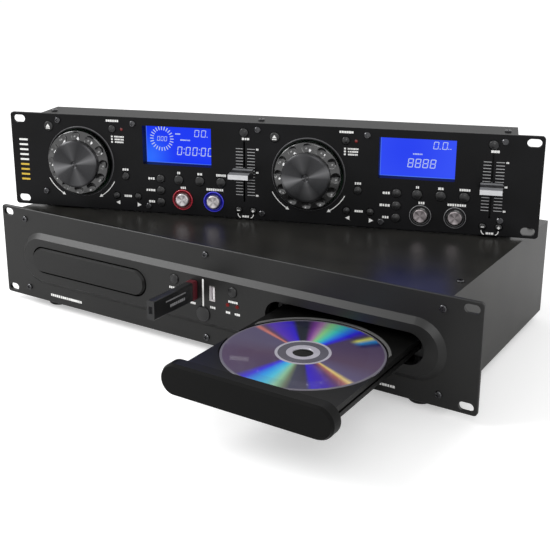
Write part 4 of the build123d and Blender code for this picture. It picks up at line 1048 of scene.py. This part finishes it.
def disc_foil(colour, centre):
    """Pressed polycarbonate over reflective foil and dye: its fine track splits light into spokes of colour.

    The spokes are painted by the angle round the hole, because a track 0.0016 mm wide can't be drawn."""
    material, tree, shader = new_finish(
        "dyed_disc_foil", Metallic=0.15, Roughness=0.3, Coat_Weight=0.8, Coat_Roughness=0.03
    )
    place = node(tree, "ShaderNodeTexCoord").outputs["Object"]
    centred = node(tree, "ShaderNodeMapping", [("Vector", place), ("Location", -centre)])
    parts = node(tree, "ShaderNodeSeparateXYZ", [("Vector", centred.outputs[0])])
    angle = node(
        tree, "ShaderNodeMath", [(0, parts.outputs["Y"]), (1, parts.outputs["X"])], operation="ARCTAN2"
    )
    turn = node(
        tree, "ShaderNodeMapRange",
        [("Value", angle.outputs[0]), ("From Min", -math.pi), ("From Max", math.pi)],
    )
    spokes, fan = (
        node(tree, "ShaderNodeValToRGB", [("Fac", turn.outputs["Result"])], stops)
        for stops in (
            [(degrees / 360 + 0.5, hex_colour(value)) for degrees, value in DISC_SPOKES],
            [(degrees / 360 + 0.5, [*hex_colour(value)[:3], alpha]) for degrees, value, alpha in RIM_SPOKES],
        )
    )
    away = node(tree, "ShaderNodeVectorMath", [(0, centred.outputs[0])], operation="LENGTH").outputs["Value"]
    near_rim = node(
        tree, "ShaderNodeMapRange", [("Value", away), ("From Min", FAN_START[0]), ("From Max", FAN_START[1])],
        interpolation_type="SMOOTHSTEP",
    )
    share = node(
        tree, "ShaderNodeMath", [(0, fan.outputs["Alpha"]), (1, near_rim.outputs["Result"])],
        operation="MULTIPLY",
    )
    shade = node(
        tree, "ShaderNodeMix",
        [("Factor", share.outputs[0]), ("A", spokes.outputs["Color"]), ("B", fan.outputs["Color"])],
        data_type="RGBA",
    )
    blank = node(
        tree, "ShaderNodeMapRange",
        [("Value", away), ("From Min", BAND_END[0]), ("From Max", BAND_END[1]), ("To Max", BLANK_GREY)],
    )
    tinted = node(
        tree, "ShaderNodeMix",
        [("Factor", blank.outputs["Result"]), ("A", shade.outputs[2]), ("B", hex_colour(colour))],
        data_type="RGBA",
    )
    tree.links.new(tinted.outputs[2], shader.inputs["Base Color"])
    return material


class PLAYER_OT_disc(bpy.types.Operator):
    """The disc in the second tray: bare rim and hub, with painted highlights in the hub, white ring below and
    foil with painted spokes of light
    """

    bl_idname = "disc_player.disc"
    bl_label = "Disc"

    def execute(self, context):
        sizes = context.scene.disc_player.disc
        centre = Vector(JOINTS["disc_spin"]["pos_m"])
        low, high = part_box("disc")
        centre.z = (low.z + high.z) / 2
        rim_start = DISC_R - sizes.rim / MM
        hub_end = sizes.hub / MM

        def part_of_disc(radius, out):
            if radius > rim_start:
                return 0
            if radius > hub_end:
                return 1 if out > 0 else 3
            if radius > HUB_RING[0]:
                return 2
            return 4 if radius > HUB_LIGHT else 2

        half, edge = DISC_HALF, DISC_HALF - DISC_ROUNDING
        inner, outer = DISC_HOLE_R + DISC_ROUNDING, DISC_R - DISC_ROUNDING
        upper = (inner, HUB_LIGHT, *HUB_RING, hub_end, *FOIL_RINGS, rim_start, outer)
        lower = (outer, rim_start, hub_end, HUB_RING[0], HUB_LIGHT, inner)
        profile = [
            (DISC_HOLE_R, -edge), (DISC_HOLE_R, edge), *((radius, half) for radius in upper),
            (DISC_R, edge), (DISC_R, -edge), *((radius, -half) for radius in lower),
        ]
        disc = Drawing(Matrix.Translation(centre) @ Matrix.Scale(MM, 4))
        disc.lathe(0, 0, profile, part_of_disc, steps=192, smooth=False)
        disc.piece(
            "disc_dressed", "disc",
            [
                plain(
                    "disc_rim_polycarbonate", "6c6874", "605c68", 0.3, Coat_Weight=0.3, Coat_Roughness=0.15
                ),
                disc_foil(sizes.foil, centre),
                # Painted highlight: light grey for the clear hub's thick ring and stacking ring.
                plain("frosted_hub_polycarbonate", "b9b6c0", "9f9ca8", 0.25, Coat_Weight=0.5),
                plain("disc_white_lacquer", "e9e9ea", "dddddf", 0.3),
                plain("grey_hub_polycarbonate", "62606a", "54525c", 0.2, Coat_Weight=0.5),
            ],
            "disc_polycarbonate", ["disc"], SHARP,
        )
        return {"FINISHED"}


# ==== pieces of the controller ====
KEY_CAP_BACK = 4.3
BUTTON = (7.0, 3.5)  # radius, proud
BUTTON_FACE = ((0, 0.35), (2.6, 0.3), (4.4, 0.12), (4.9, 0))  # radius, depth below its highest ring
BUTTON_METAL = (5.9, 0.7)  # radius of its metal cap, rounding
BUTTON_SHOULDER = (1.6, 1.2)  # distance out of the tinted ring round the cap, at the cap and at its edge
BUTTON_FLANGE = (7.6, 1.0)  # radius, thickness
BUTTON_STEM = (1.5, 8.8)  # radius, depth of its end
RING = (7.3, 9.5, 1.5)  # inner radius, outer radius, proud
RING_TOP = ((7.3, 0.4), (7.8, 0.5), (8.4, 1.15))  # radius, distance out, up to its rounded edge
RING_ROUNDING = 0.6
RING_FLANGE = (10.4, 3.0, 3.8)  # radius, depths of its faces
# Colour of the rings by radius: painted shade inside and a painted highlight along the rounded edges.
CUE_SHADES = (
    (5.9, "1a0204"), (7.0, "4c0a12"), (8.6, "640e1a"), (9.0, "941a28"), (9.25, "cc3c4c"), (9.5, "5c0c16"),
)
PLAY_SHADES = (
    (5.9, "04041e"), (7.0, "0e0e68"), (8.6, "141488"), (9.0, "2020b4"), (9.25, "5454e4"), (9.5, "101074"),
)
UNLIT_SHADES = (
    (5.9, "060607"), (7.0, "0c0c0d"), (7.4, "38383a"), (8.8, "161617"), (9.2, "88888a"), (9.5, "2c2c2e"),
)
BUTTON_SPOTS = {"cue_button": (-73.5, 14.2), "play_button": (-44.0, 14.2)}
JOG_LAMP = (-131.0, 76.5)
JOG_LAMP_LENS = (
    (0, 0.5), (0.8, 0.42), (1.3, 0.15), (1.5, -0.2), (1.5, -3.0), (2.3, -3.0), (2.3, -4.0), (0, -4.0),
)
JOG_WHEEL = ((28.4, 7.0), (29.8, 5.5), (29.8, -4.0), (3.0, -4.0), (3.0, -11.5), (0, -11.5))
JOG_ROUNDING = 1.5  # of the wheel's outer edge
JOG_CAP = (21.7, 15.0, 8.6)  # radius, distance out of its face and of its foot
# The cap's face: radius and depth below its highest ring, and near its edge the distance inside it.
CAP_MIDDLE = ((0, 1.0), (2.6, 1.0), (3.0, 0.4), (3.3, 0.1), (3.6, 0), (8, 0.05), (13, 0.18))
CAP_EDGE = ((2.5, 0.4), (1.9, 0.55), (0.3, 1.15), (0, 1.5))
CAP_SUNK = 0.3  # its foot in the wheel
DIMPLE_CIRCLE = 25.4
DIMPLE_R = 4.3
DIMPLE_BANDS = 18  # rings of faces across the dimpled slope
DIMPLE_STEPS = 30  # faces along each dimple's share of the rim
# Painted highlights: how light the spun metal's colour is by the angle from the right, in two pairs of wedges
# that face the studio's lamps.
CAP_PAINTED_HIGHLIGHTS = (
    (0, 0.12), (18, 0.6), (36, 0.12), (75, 0.05), (108, 0.22), (135, 0.06), (172, 0.1), (196, 0.75),
    (216, 0.12), (250, 0.05), (287, 0.3), (312, 0.06), (360, 0.12),
)
BUTTON_PAINTED_HIGHLIGHTS = (
    (0, 0.75), (30, 0.95), (62, 0.35), (85, 0.8), (112, 0.9), (140, 0.3), (165, 0.9), (205, 1.0),
    (232, 0.3), (262, 0.85), (290, 0.7), (322, 0.25), (360, 0.75),
)


class PLAYER_OT_jog_wheels(bpy.types.Operator):
    """Jog wheels: polished dimpled rim and lathe-faced cap"""

    bl_idname = "disc_player.jog_wheels"
    bl_label = "Jog wheels"

    def execute(self, context):
        control = context.scene.disc_player.control
        count = control.finger_dimples
        depth = control.dimple_depth / MM

        def dimpled(radius, angle):
            if not JOG_CAP[0] < radius < JOG_WHEEL[1][0]:
                return 0.0
            nearest = round(angle / math.tau * count) * math.tau / count
            across = radius * math.sin(angle - nearest)
            along = radius * math.cos(angle - nearest) - DIMPLE_CIRCLE
            away = math.hypot(across, along) / DIMPLE_R
            return -depth * (1 - away * away) if away < 1 else 0.0

        rim_black = polished_abs()
        cap_metal = spun("dark_spun_cap", "8c8c8e", "202022", 0.3, CAP_PAINTED_HIGHLIGHTS, 0.6, 0.07)
        edge, face = JOG_WHEEL[0]
        radius, top, foot = JOG_CAP
        slope = [
            (radius + (edge - radius) * step / DIMPLE_BANDS, foot + (face - foot) * step / DIMPLE_BANDS)
            for step in range(DIMPLE_BANDS)
        ]
        shoulder = arc(edge, face - JOG_ROUNDING, JOG_ROUNDING, 85, 8, 6)
        rim = [(0, foot), *slope, *shoulder, *JOG_WHEEL[1:]]
        cap = [(around, top - drop) for around, drop in CAP_MIDDLE]
        cap += [(radius - inside, top - drop) for inside, drop in CAP_EDGE]
        cap += [(radius, foot - CAP_SUNK), (0, foot - CAP_SUNK)]
        for deck, shift in DECKS:
            wheel = Drawing(CONTROLLER.grid(JOG_SPOT[0] + shift, JOG_SPOT[1]))
            wheel.lathe(0, 0, rim, 0, steps=count * DIMPLE_STEPS, shape=dimpled)
            wheel.lathe(0, 0, cap, 1, steps=192)
            name = f"jog_wheel_{deck}"
            wheel.piece(f"{name}_dressed", name, [rim_black, cap_metal], "jog_plastic", [name], 40)
        return {"FINISHED"}


class PLAYER_OT_buttons(bpy.types.Operator):
    """Cue and play buttons, their light rings and the jog lamps"""

    bl_idname = "disc_player.buttons"
    bl_label = "Large buttons, rings and lamps"

    def execute(self, context):
        # Painted light and shade: one spun metal in two copies, lighter on the first deck and darker on the
        # second, which mirrors darker surroundings.
        metals = {
            1: spun("silver_spun_button", "f4eef0", "585458", 0.35, BUTTON_PAINTED_HIGHLIGHTS, 0.7, 0.02),
            2: spun("shaded_spun_button", "b8b0b2", "242022", 0.35, BUTTON_PAINTED_HIGHLIGHTS, 0.7, 0.02),
        }
        # Painted shade and highlight: each ring's colour by radius is dim inside and light along its rounded
        # edge.
        rings = {
            ("cue_button", 1): tinted_ring_painted_edge("cue_ring_red", CUE_SHADES, 0.2),
            ("play_button", 1): tinted_ring_painted_edge("play_ring_blue", PLAY_SHADES, 0.25),
        }
        unlit = tinted_ring_painted_edge("unlit_ring_acrylic", UNLIT_SHADES, 0.0)
        radius, proud = BUTTON
        metal, rounding = BUTTON_METAL
        flange = KEY_CAP_BACK + BUTTON_FLANGE[1]
        button_shape = [
            *((around, proud - drop) for around, drop in BUTTON_FACE),
            *arc(metal - rounding, proud - rounding, rounding, 88, 0, 6),
            (metal, BUTTON_SHOULDER[0]), (radius, BUTTON_SHOULDER[1]),
            (radius, -KEY_CAP_BACK), (BUTTON_FLANGE[0], -KEY_CAP_BACK), (BUTTON_FLANGE[0], -flange),
            (BUTTON_STEM[0], -flange), (BUTTON_STEM[0], -BUTTON_STEM[1]), (0, -BUTTON_STEM[1]),
        ]
        inner, outer, ring_out = RING
        flange_r, flange_front, flange_back = RING_FLANGE
        ring_shape = [
            (inner, -flange_back), *RING_TOP,
            *arc(outer - RING_ROUNDING, ring_out - RING_ROUNDING, RING_ROUNDING, 120, 0, 7),
            (outer, -flange_front), (flange_r, -flange_front), (flange_r, -flange_back),
        ]

        def part_of_button(around, out):
            return 1 if around > metal + 0.01 or out < BUTTON_SHOULDER[0] else 0

        for deck, shift in DECKS:
            for name, (x, z) in BUTTON_SPOTS.items():
                light = rings.get((name, deck), unlit)
                pressed = f"{name}_{deck}"
                button = Drawing(CONTROLLER.grid(x + shift, z))
                button.lathe(0, 0, button_shape, part_of_button)
                button.piece(
                    f"{pressed}_dressed", pressed, [metals[deck], light], "spun_buttons", [pressed], SHARP
                )
                ring = Drawing(CONTROLLER.grid(x + shift, z))
                ring.lathe(0, 0, ring_shape)
                ring.piece(
                    f"{name.split('_')[0]}_ring_{deck}", "controller", [light],
                    "clear_lenses", ["controller_lenses"], SHARP,
                )
            x, z = JOG_LAMP[0] + shift, JOG_LAMP[1]
            spot = CONTROLLER.place(x, z, JOG_LAMP_LENS[0][1])
            lamp = Drawing(CONTROLLER.grid(x, z))
            lamp.lathe(0, 0, JOG_LAMP_LENS, steps=32)
            light = glowing(f"jog_lamp_red_{deck}", "b8302c", "2c0808", 0.5, spot, 0.002, 0.5)
            lamp.piece(
                f"jog_lamp_{deck}", "controller", [light], "clear_lenses", ["controller_lenses"], SHARP
            )
        return {"FINISHED"}


DISPLAY = (-78.5, 63.25, 68.5, 39.0)  # x, z, width, height of the pane behind its rim
PANE = (-12.5, -10.06, -10.0)  # back, backlight's face and figures' face
PANE_SEEN = (65.0, 35.5)  # width and height inside the rim
PANE_EDGE = (0.7, 0.6)  # widths of the lit edges at the side, and above and below
BARS_LIT = {"0": "abcdef", "8": "abcdefg"}  # of a seven-bar figure
STROKE = 0.1  # a bar's width as a share of the figure's height
LEAN = 0.12
RAYS = (-96.0, 67.8)  # x, z of the ring of rays on the first display
# What each display shows, by places on the controller's panel: figures with their left ends, bottom,
# width and height, then dots and dashes, and lines of small print, with x, z, width and height.
FIGURES = {
    1: (
        ("0", (-100.6, -97.2, -93.8), 65.6, 2.5, 4.4),
        ("0", (-65.0, -58.6), 70.8, 4.4, 6.5),
        ("0", (-81.8, -73.8, -67.2, -59.2, -52.6), 53.3, 4.6, 8.0),
    ),
    2: (
        ("0", (149.4, 157.0), 70.8, 4.4, 6.6),
        ("8", (128.0, 134.4, 140.8, 147.2), 53.8, 4.8, 8.0),
    ),
}
DOTS = {
    1: (
        (-52.6, 71.2, 0.8, 0.8), (-75.1, 55.6, 0.9, 0.9), (-74.6, 59.2, 0.9, 0.9),
        (-60.5, 55.6, 0.9, 0.9), (-60.0, 59.2, 0.9, 0.9),
    ),
    2: ((155.4, 71.2, 0.8, 0.8), (162.6, 71.4, 1.0, 0.7), (164.4, 71.4, 1.0, 0.7)),
}
DISPLAY_WORDS = {
    1: ((-80.6, 72.8, 5.0, 1.3), (-73.5, 67.4, 9.5, 1.3)),
    2: ((136.6, 65.8, 8.5, 1.4),),
}


def figure(drawing, value, x, z, width, height):
    """A seven-bar figure from its lower left corner, leaning right."""
    stroke = height * STROKE
    gap = stroke / 4
    half = height / 2
    lean = LEAN * height
    low, high = PANE[1], PANE[2]
    across = width - stroke
    for bar, level in {"a": height - stroke / 2, "g": half, "d": stroke / 2}.items():
        if bar in BARS_LIT[value]:
            spot = x + width / 2 + lean * level / height
            drawing.bar(spot, z + level, across - stroke, stroke, low, high, 1)
    for bar, (side, upper) in {"f": (0, 1), "b": (1, 1), "e": (0, 0), "c": (1, 0)}.items():
        if bar in BARS_LIT[value]:
            middle = half * (0.5 + upper)
            spot = x + stroke / 2 + side * across + lean * middle / height
            drawing.bar(spot, z + middle, stroke, half - stroke / 2 - gap, low, high, 1, lean / 2)


class PLAYER_OT_displays(bpy.types.Operator):
    """Backlit displays with plain figures"""

    bl_idname = "disc_player.displays"
    bl_label = "Displays"

    def execute(self, context):
        light = context.scene.disc_player.display
        back, low, high = PANE
        # Each backlight's name, shade at its brightest spot and beyond, that spot from the display's
        # middle, and its reach.
        backlights = {
            1: ("first_display_blue", "2c6cff", light.first_blue, (-32, -14), 0.03),
            2: ("second_display_blue", light.second_blue, "3450f6", (-10, 6), 0.05),
        }
        side_edge, level_edge = PANE_EDGE
        edges = (
            (-1, 0, side_edge, PANE_SEEN[1]),
            (0, 1, PANE_SEEN[0], level_edge),
            (0, -1, PANE_SEEN[0], level_edge),
        )
        for deck, shift in DECKS:
            x, z = DISPLAY[0] + shift, DISPLAY[1]
            pane = Drawing(CONTROLLER.grid())
            pane.bar(x, z, DISPLAY[2], DISPLAY[3], back, low)
            name, bright, beyond, (right, up), reach = backlights[deck]
            spot = CONTROLLER.place(x + right, z + up, low)
            backlight = glowing(name, bright, beyond, light.glow, spot, reach)
            if deck == 1:
                rays = grown(
                    tree_named("ray_ring", ray_ring_tree),
                    count=24, radius=9.7, ray_size=(3.4, 0.9, high - low),
                )
                pane.take(rays, *RAYS, (low + high) / 2, 1)
            for value, starts, bottom, width, height in FIGURES[deck]:
                for start in starts:
                    figure(pane, value, start, bottom, width, height)
            for spot in DOTS[deck]:
                pane.bar(*spot, low, high, 1)
            for spot in DISPLAY_WORDS[deck]:
                printed_words(pane, *spot, low, 1, high - low)
            # The backlight shows brightest along the pane's edges.
            for side, drop, width, height in edges:
                reach = (PANE_SEEN[0] - side_edge) / 2, (PANE_SEEN[1] - level_edge) / 2
                pane.bar(x + side * reach[0], z + drop * reach[1], width, height, low, high, 2)
            middle = CONTROLLER.place(x, z, high)
            edge = glowing(f"display_edge_{deck}", "5a84ff", "4468f8", 0.9 * light.glow, middle, 0.05)
            segments = glowing(
                f"display_figures_{deck}", light.segment_white, light.segment_white, 0.85 * light.glow,
                middle, 0.1,
            )
            pane.piece(
                f"display_{deck}", "controller", [backlight, segments, edge], "clear_lenses",
                ["controller_lenses"],
            )
        return {"FINISHED"}


KNOB_STRIPE = (8.0, 15.0)  # dark stripe across the knob's top, by its distance from the panel
TICK_BOTTOM = 22.3
TICK_ROWS = ((-19.75, 6.5), (-9.0, 7.0))  # x of the ticks' middle, length
TICK_WIDTH = 0.6
SCALE_WORDS = (-3.4, 2.4, 1.7)  # x, width and height of the three by each scale
SCALE_ZERO = 43.4


class PLAYER_OT_faders(bpy.types.Operator):
    """Pitch faders and the printed scales beside them"""

    bl_idname = "disc_player.faders"
    bl_label = "Pitch faders and scales"

    def execute(self, context):
        settings = context.scene.disc_player
        control = settings.control

        def knob_face(middle, normal):
            # Painted light and shade: the knob's top takes a lighter grey and its sides and undersides a dark
            # finish, by which way each face turns.
            if normal.dot(CONTROLLER.outward) > 0.9:
                return 0
            if normal.z < 0.7:
                return 2
            stripe_start, stripe_end = KNOB_STRIPE
            return 2 if stripe_start < out_from(CONTROLLER, middle) < stripe_end else 1

        silver = plain("fader_silver_face", "dcdcde", "cbccce", 0.35, Metallic=0.3)
        # Painted light and shade: grey for the knob's lit top, dark for its stripe and its shaded sides.
        grey = plain("fader_grey_abs", "808184", "747578", 0.35)
        dark = plain("fader_dark_abs", "29292b", "1f1f21", 0.4)
        grey_ink = ink("grey_screen_print", settings.finish.tick_grey)
        white_ink = ink("white_screen_print_scale", settings.finish.print_white)
        scale = Drawing(CONTROLLER.grid())
        step = control.tick_step / MM
        cuts = [(CONTROLLER.place(0, 0, out), CONTROLLER.outward) for out in KNOB_STRIPE]
        for deck, shift in DECKS:
            name = f"pitch_fader_{deck}"
            copy_of(name, name, [silver, grey, dark], knob_face, cuts)
            for x, length in TICK_ROWS:
                ticks = grown(
                    tree_named("tick_row", tick_row_tree), count=control.ticks,
                    step=(0, step, 0), tick_size=(length, TICK_WIDTH, PRINT),
                )
                scale.take(ticks, x + shift, TICK_BOTTOM, PRINT / 2, 0)
            x, width, height = SCALE_WORDS
            for z in (TICK_BOTTOM, SCALE_ZERO, TICK_BOTTOM + 15 * step):
                printed_words(scale, x + shift, z, width, height, 0.0, 1)
        scale.piece("fader_scales", "controller", [grey_ink, white_ink], "black_painted_aluminium")
        return {"FINISHED"}


# Small lines of print on the first deck: x, z, width, height.
DECK_WORDS = (
    (-139.75, 84.0, 12.5, 2.1), (-128.5, 39.2, 6.0, 2.2), (-127.0, 14.2, 7.5, 2.2),
    (-103.5, 32.3, 6.5, 2.2), (-104.5, 21.3, 9.0, 2.2), (-103.5, 10.5, 6.0, 2.2),
    (-77.0, 38.9, 3.0, 2.2), (-57.0, 38.9, 5.0, 2.2), (-37.0, 38.9, 9.5, 2.2),
    (-73.0, 25.3, 5.5, 2.2), (-43.0, 25.3, 16.0, 2.2), (-14.0, 73.5, 7.0, 2.2), (-14.2, 2.2, 6.5, 2.0),
    (-133.6, 69.5, 9.6, 1.5), (-133.6, 67.0, 9.0, 1.5), (-133.6, 64.5, 8.6, 1.5),
)
LIST_DOTS = ((-140.6, 69.5), (-140.6, 67.0), (-140.6, 64.5))
DOT = (1.6, 1.5)  # width, height
# Printed triangles: x, z, width (negative points left), height.
DECK_ARROWS = ((-137.0, 7.5, -3.8, 4.0), (-116.0, 6.5, 3.8, 4.0))
ARROW_ARC = (37.0, 208.0, 238.0, 0.7)  # radius, first and last angle, width
ARROW_HEAD = (1.6, 3.0)  # half width, length
BEND_LABEL = (-14.2, 4.6)
BEND_BRACKET = (5.2, 3.8, 0.35)  # from the label's middle to each bracket, its radius and half width
STRIPES = (9, 4)  # at the left end: how many, and how many of them are yellow
STRIPE = (-229.5, 24.5, 8.5, 1.7)  # x, z, width, height of the lowest
STRIPE_STEP = 4.75
KEY_TOP = 1.6  # distance out, where marks on keys lie
EJECT_MARK = (-203.0, 76.3)
BEND_MARKS = ((-20.5, -7.0), 8.0)  # x of the minus and the plus, z


def pointer(drawing, x, z, width, height):
    """A printed triangle that points along its width."""
    outline = [(x - width / 2, z - height / 2), (x + width / 2, z), (x - width / 2, z + height / 2)]
    drawing.slab(outline if width > 0 else outline[::-1], 0.0, PRINT)


class PLAYER_OT_controller_marks(bpy.types.Operator):
    """Small print, arrows and side stripes on the controller's panel"""

    bl_idname = "disc_player.controller_marks"
    bl_label = "Controller's printed marks"

    def execute(self, context):
        white = ink("white_screen_print", context.scene.disc_player.finish.print_white)
        yellow = ink("yellow_screen_print", "d8b43a")
        marks = Drawing(CONTROLLER.grid())
        radius, first, last, width = ARROW_ARC
        for deck, shift in DECKS:
            for x, z, length, height in DECK_WORDS:
                printed_words(marks, x + shift, z, length, height, 0.0)
            for x, z, length, height in DECK_ARROWS:
                pointer(marks, x + shift, z, length, height)
            for x, z in LIST_DOTS:
                marks.bar(x + shift, z, *DOT, 0.0, PRINT)
            centre_x, centre_z = JOG_SPOT[0] + shift, JOG_SPOT[1]
            for start, end, turn in ((first, last, 90), (180 - first, 180 - last, -90)):
                outline = band(centre_x, centre_z, radius - width / 2, radius + width / 2, start, end)
                marks.slab(outline, 0.0, PRINT)
                along = math.radians(end + turn)
                tip = Vector(arc(centre_x, centre_z, radius, end, end, 1)[0])
                ahead = Vector((math.cos(along), math.sin(along)))
                beside = Vector((-ahead.y, ahead.x)) * ARROW_HEAD[0]
                corners = [tip + beside, tip - beside, tip + ahead * ARROW_HEAD[1]]
                marks.slab([tuple(corner) for corner in corners], 0.0, PRINT)
            # Brackets from the bend keys down to their label.
            reach, bend, half = BEND_BRACKET
            for start, end, side in ((180, 250, -1), (360, 290, 1)):
                middle = BEND_LABEL[0] + shift + side * (reach - bend + 2.0)
                marks.slab(band(middle, BEND_LABEL[1], bend - half, bend + half, start, end, 8), 0.0, PRINT)
        x, z, length, height = STRIPE
        for number in range(STRIPES[0]):
            finish = 1 if number < STRIPES[1] else 0
            marks.bar(x, z + STRIPE_STEP * number, length, height, 0.0, PRINT, finish)
        marks.piece("controller_printing", "controller", [white, yellow], "black_painted_aluminium")

        # Eject marks, and the minus and plus of the bend keys, on the keys themselves.
        low, high = KEY_TOP, KEY_TOP + PRINT
        for deck, shift in DECKS:
            key = Drawing(CONTROLLER.grid())
            x, z = EJECT_MARK[0] + shift, EJECT_MARK[1]
            key.slab([(x - 2.0, z - 0.5), (x + 2.0, z - 0.5), (x, z + 2.4)], low, high)
            key.bar(x, z - 1.6, 4.0, 0.9, low, high)
            key.piece(f"eject_mark_{deck}", f"eject_key_{deck}", [white], "grey_keys")
            signs = Drawing(CONTROLLER.grid())
            places, z = BEND_MARKS
            for x in places:
                signs.bar(x + shift, z, 2.6, 0.8, low, high)
            # The plus's upright stands a little higher than its level bar, so that no faces coincide.
            signs.bar(places[1] + shift, z, 0.8, 2.6, low, low + PRINT * 1.5)
            signs.piece(f"bend_marks_{deck}", f"bend_keys_{deck}", [white], "grey_keys")
        return {"FINISHED"}


FLOOR = (6.0, -0.0002)  # half its side, height
FLOOR_GLOW = 0.4
WORLD_LIGHT = (0.7, 1.0)  # on the object, and as the camera, mirrors and glass see it
LIT_SPOT = (0, 0.03, 0.09)  # where both lamps point
LAMPS = (  # name, place, size, share of the power
    ("main_softbox", (-1.4, -0.96, 1.45), 1.0, 1.0),
    ("front_softbox", (1.0, -1.6, 1.2), 1.0, 0.35),
)


class PLAYER_OT_stage(bpy.types.Operator):
    """Floor, world, lamps and camera"""

    bl_idname = "disc_player.stage"
    bl_label = "Stage"

    def execute(self, context):
        scene = context.scene
        stage = scene.disc_player.stage
        scene.view_settings.view_transform = "Standard"

        material, tree, shader = new_finish(
            "pale_studio_floor", Base_Color=stage.floor_tone, Roughness=0.85, Emission_Color=(1, 1, 1, 1)
        )
        # Only the camera sees the floor's own light, so that the object's sides don't mirror it.
        path = node(tree, "ShaderNodeLightPath")
        glow = node(
            tree, "ShaderNodeMath", [(0, path.outputs["Is Camera Ray"]), (1, FLOOR_GLOW)],
            operation="MULTIPLY",
        )
        tree.links.new(glow.outputs[0], shader.inputs["Emission Strength"])
        made = bmesh.new()
        bmesh.ops.create_grid(made, x_segments=1, y_segments=1, size=FLOOR[0])
        mesh = mesh_of(made, "floor")
        mesh.materials.append(material)
        floor = added("floor", mesh)
        floor.location.z = FLOOR[1]

        world = bpy.data.worlds.new("studio_white")
        world.use_nodes = True
        scene.world = world
        background = world.node_tree.nodes["Background"]
        background.inputs["Color"].default_value = (1, 1, 1, 1)
        strength = self.seen_directly(world.node_tree, *WORLD_LIGHT)
        world.node_tree.links.new(strength, background.inputs["Strength"])

        for name, place, size, share in LAMPS:
            light = bpy.data.lights.new(name, "AREA")
            light.size = size
            light.energy = stage.lamp_power * share
            lamp = added(name, light)
            lamp.location = place
            lamp.rotation_euler = (Vector(LIT_SPOT) - Vector(place)).to_track_quat("-Z", "Y").to_euler()

        lens = bpy.data.cameras.new("photo_camera")
        lens.sensor_width = 36.0
        lens.lens = stage.focal_length
        lens.shift_y = -0.1
        lens.clip_start = 0.01
        camera = added("photo_camera", lens)
        turn, tilt, roll = stage.camera_turn
        looking = Matrix.Rotation(turn, 3, "Z") @ Matrix.Rotation(math.pi / 2 - tilt, 3, "X")
        looking = looking @ Matrix.Rotation(roll, 3, "Z")
        camera.matrix_world = Matrix.Translation(stage.camera_place) @ looking.to_4x4()
        scene.camera = camera
        return {"FINISHED"}

    @staticmethod
    def seen_directly(tree, otherwise, directly):
        """One strength for the camera, mirrors and glass, and another for the light on the object."""
        path = node(tree, "ShaderNodeLightPath")
        either = node(
            tree, "ShaderNodeMath",
            [(0, path.outputs["Is Camera Ray"]), (1, path.outputs["Is Glossy Ray"])], operation="MAXIMUM",
        )
        any_of = node(
            tree, "ShaderNodeMath",
            [(0, either.outputs[0]), (1, path.outputs["Is Transmission Ray"])], operation="MAXIMUM",
        )
        strength = node(
            tree, "ShaderNodeMapRange",
            [("Value", any_of.outputs[0]), ("To Min", otherwise), ("To Max", directly)],
        )
        return strength.outputs["Result"]


STEPS = (
    PLAYER_OT_stage,
    PLAYER_OT_shells,
    PLAYER_OT_player_marks,
    PLAYER_OT_ports,
    PLAYER_OT_rear_sockets,
    PLAYER_OT_disc,
    PLAYER_OT_jog_wheels,
    PLAYER_OT_buttons,
    PLAYER_OT_displays,
    PLAYER_OT_faders,
    PLAYER_OT_controller_marks,
)


class PLAYER_PT_panel(bpy.types.Panel):
    """Lists the settings and the steps that make the player"""

    bl_idname = "PLAYER_PT_panel"
    bl_label = "Dual disc player"
    bl_space_type = "VIEW_3D"
    bl_region_type = "UI"
    bl_category = "Player"

    def draw(self, context):
        for group in ("finish", "control", "display", "disc", "stage"):
            box = self.layout.box()
            box.label(text=group.capitalize())
            values = getattr(context.scene.disc_player, group)
            for name in values.__annotations__:
                box.prop(values, name)
        for step in STEPS:
            self.layout.operator(step.bl_idname)


CLASSES = (
    FinishSettings,
    ControlSettings,
    DisplaySettings,
    DiscSettings,
    StageSettings,
    PlayerSettings,
    *STEPS,
    PLAYER_PT_panel,
)


def register():
    for kind in CLASSES:
        bpy.utils.register_class(kind)
    bpy.types.Scene.disc_player = PointerProperty(type=PlayerSettings)


def unregister():
    del bpy.types.Scene.disc_player
    for kind in reversed(CLASSES):
        bpy.utils.unregister_class(kind)


def main():
    register()
    for step in STEPS:
        getattr(bpy.ops.disc_player, step.bl_idname.split(".")[1])()


if __name__ == "__main__":
    main()
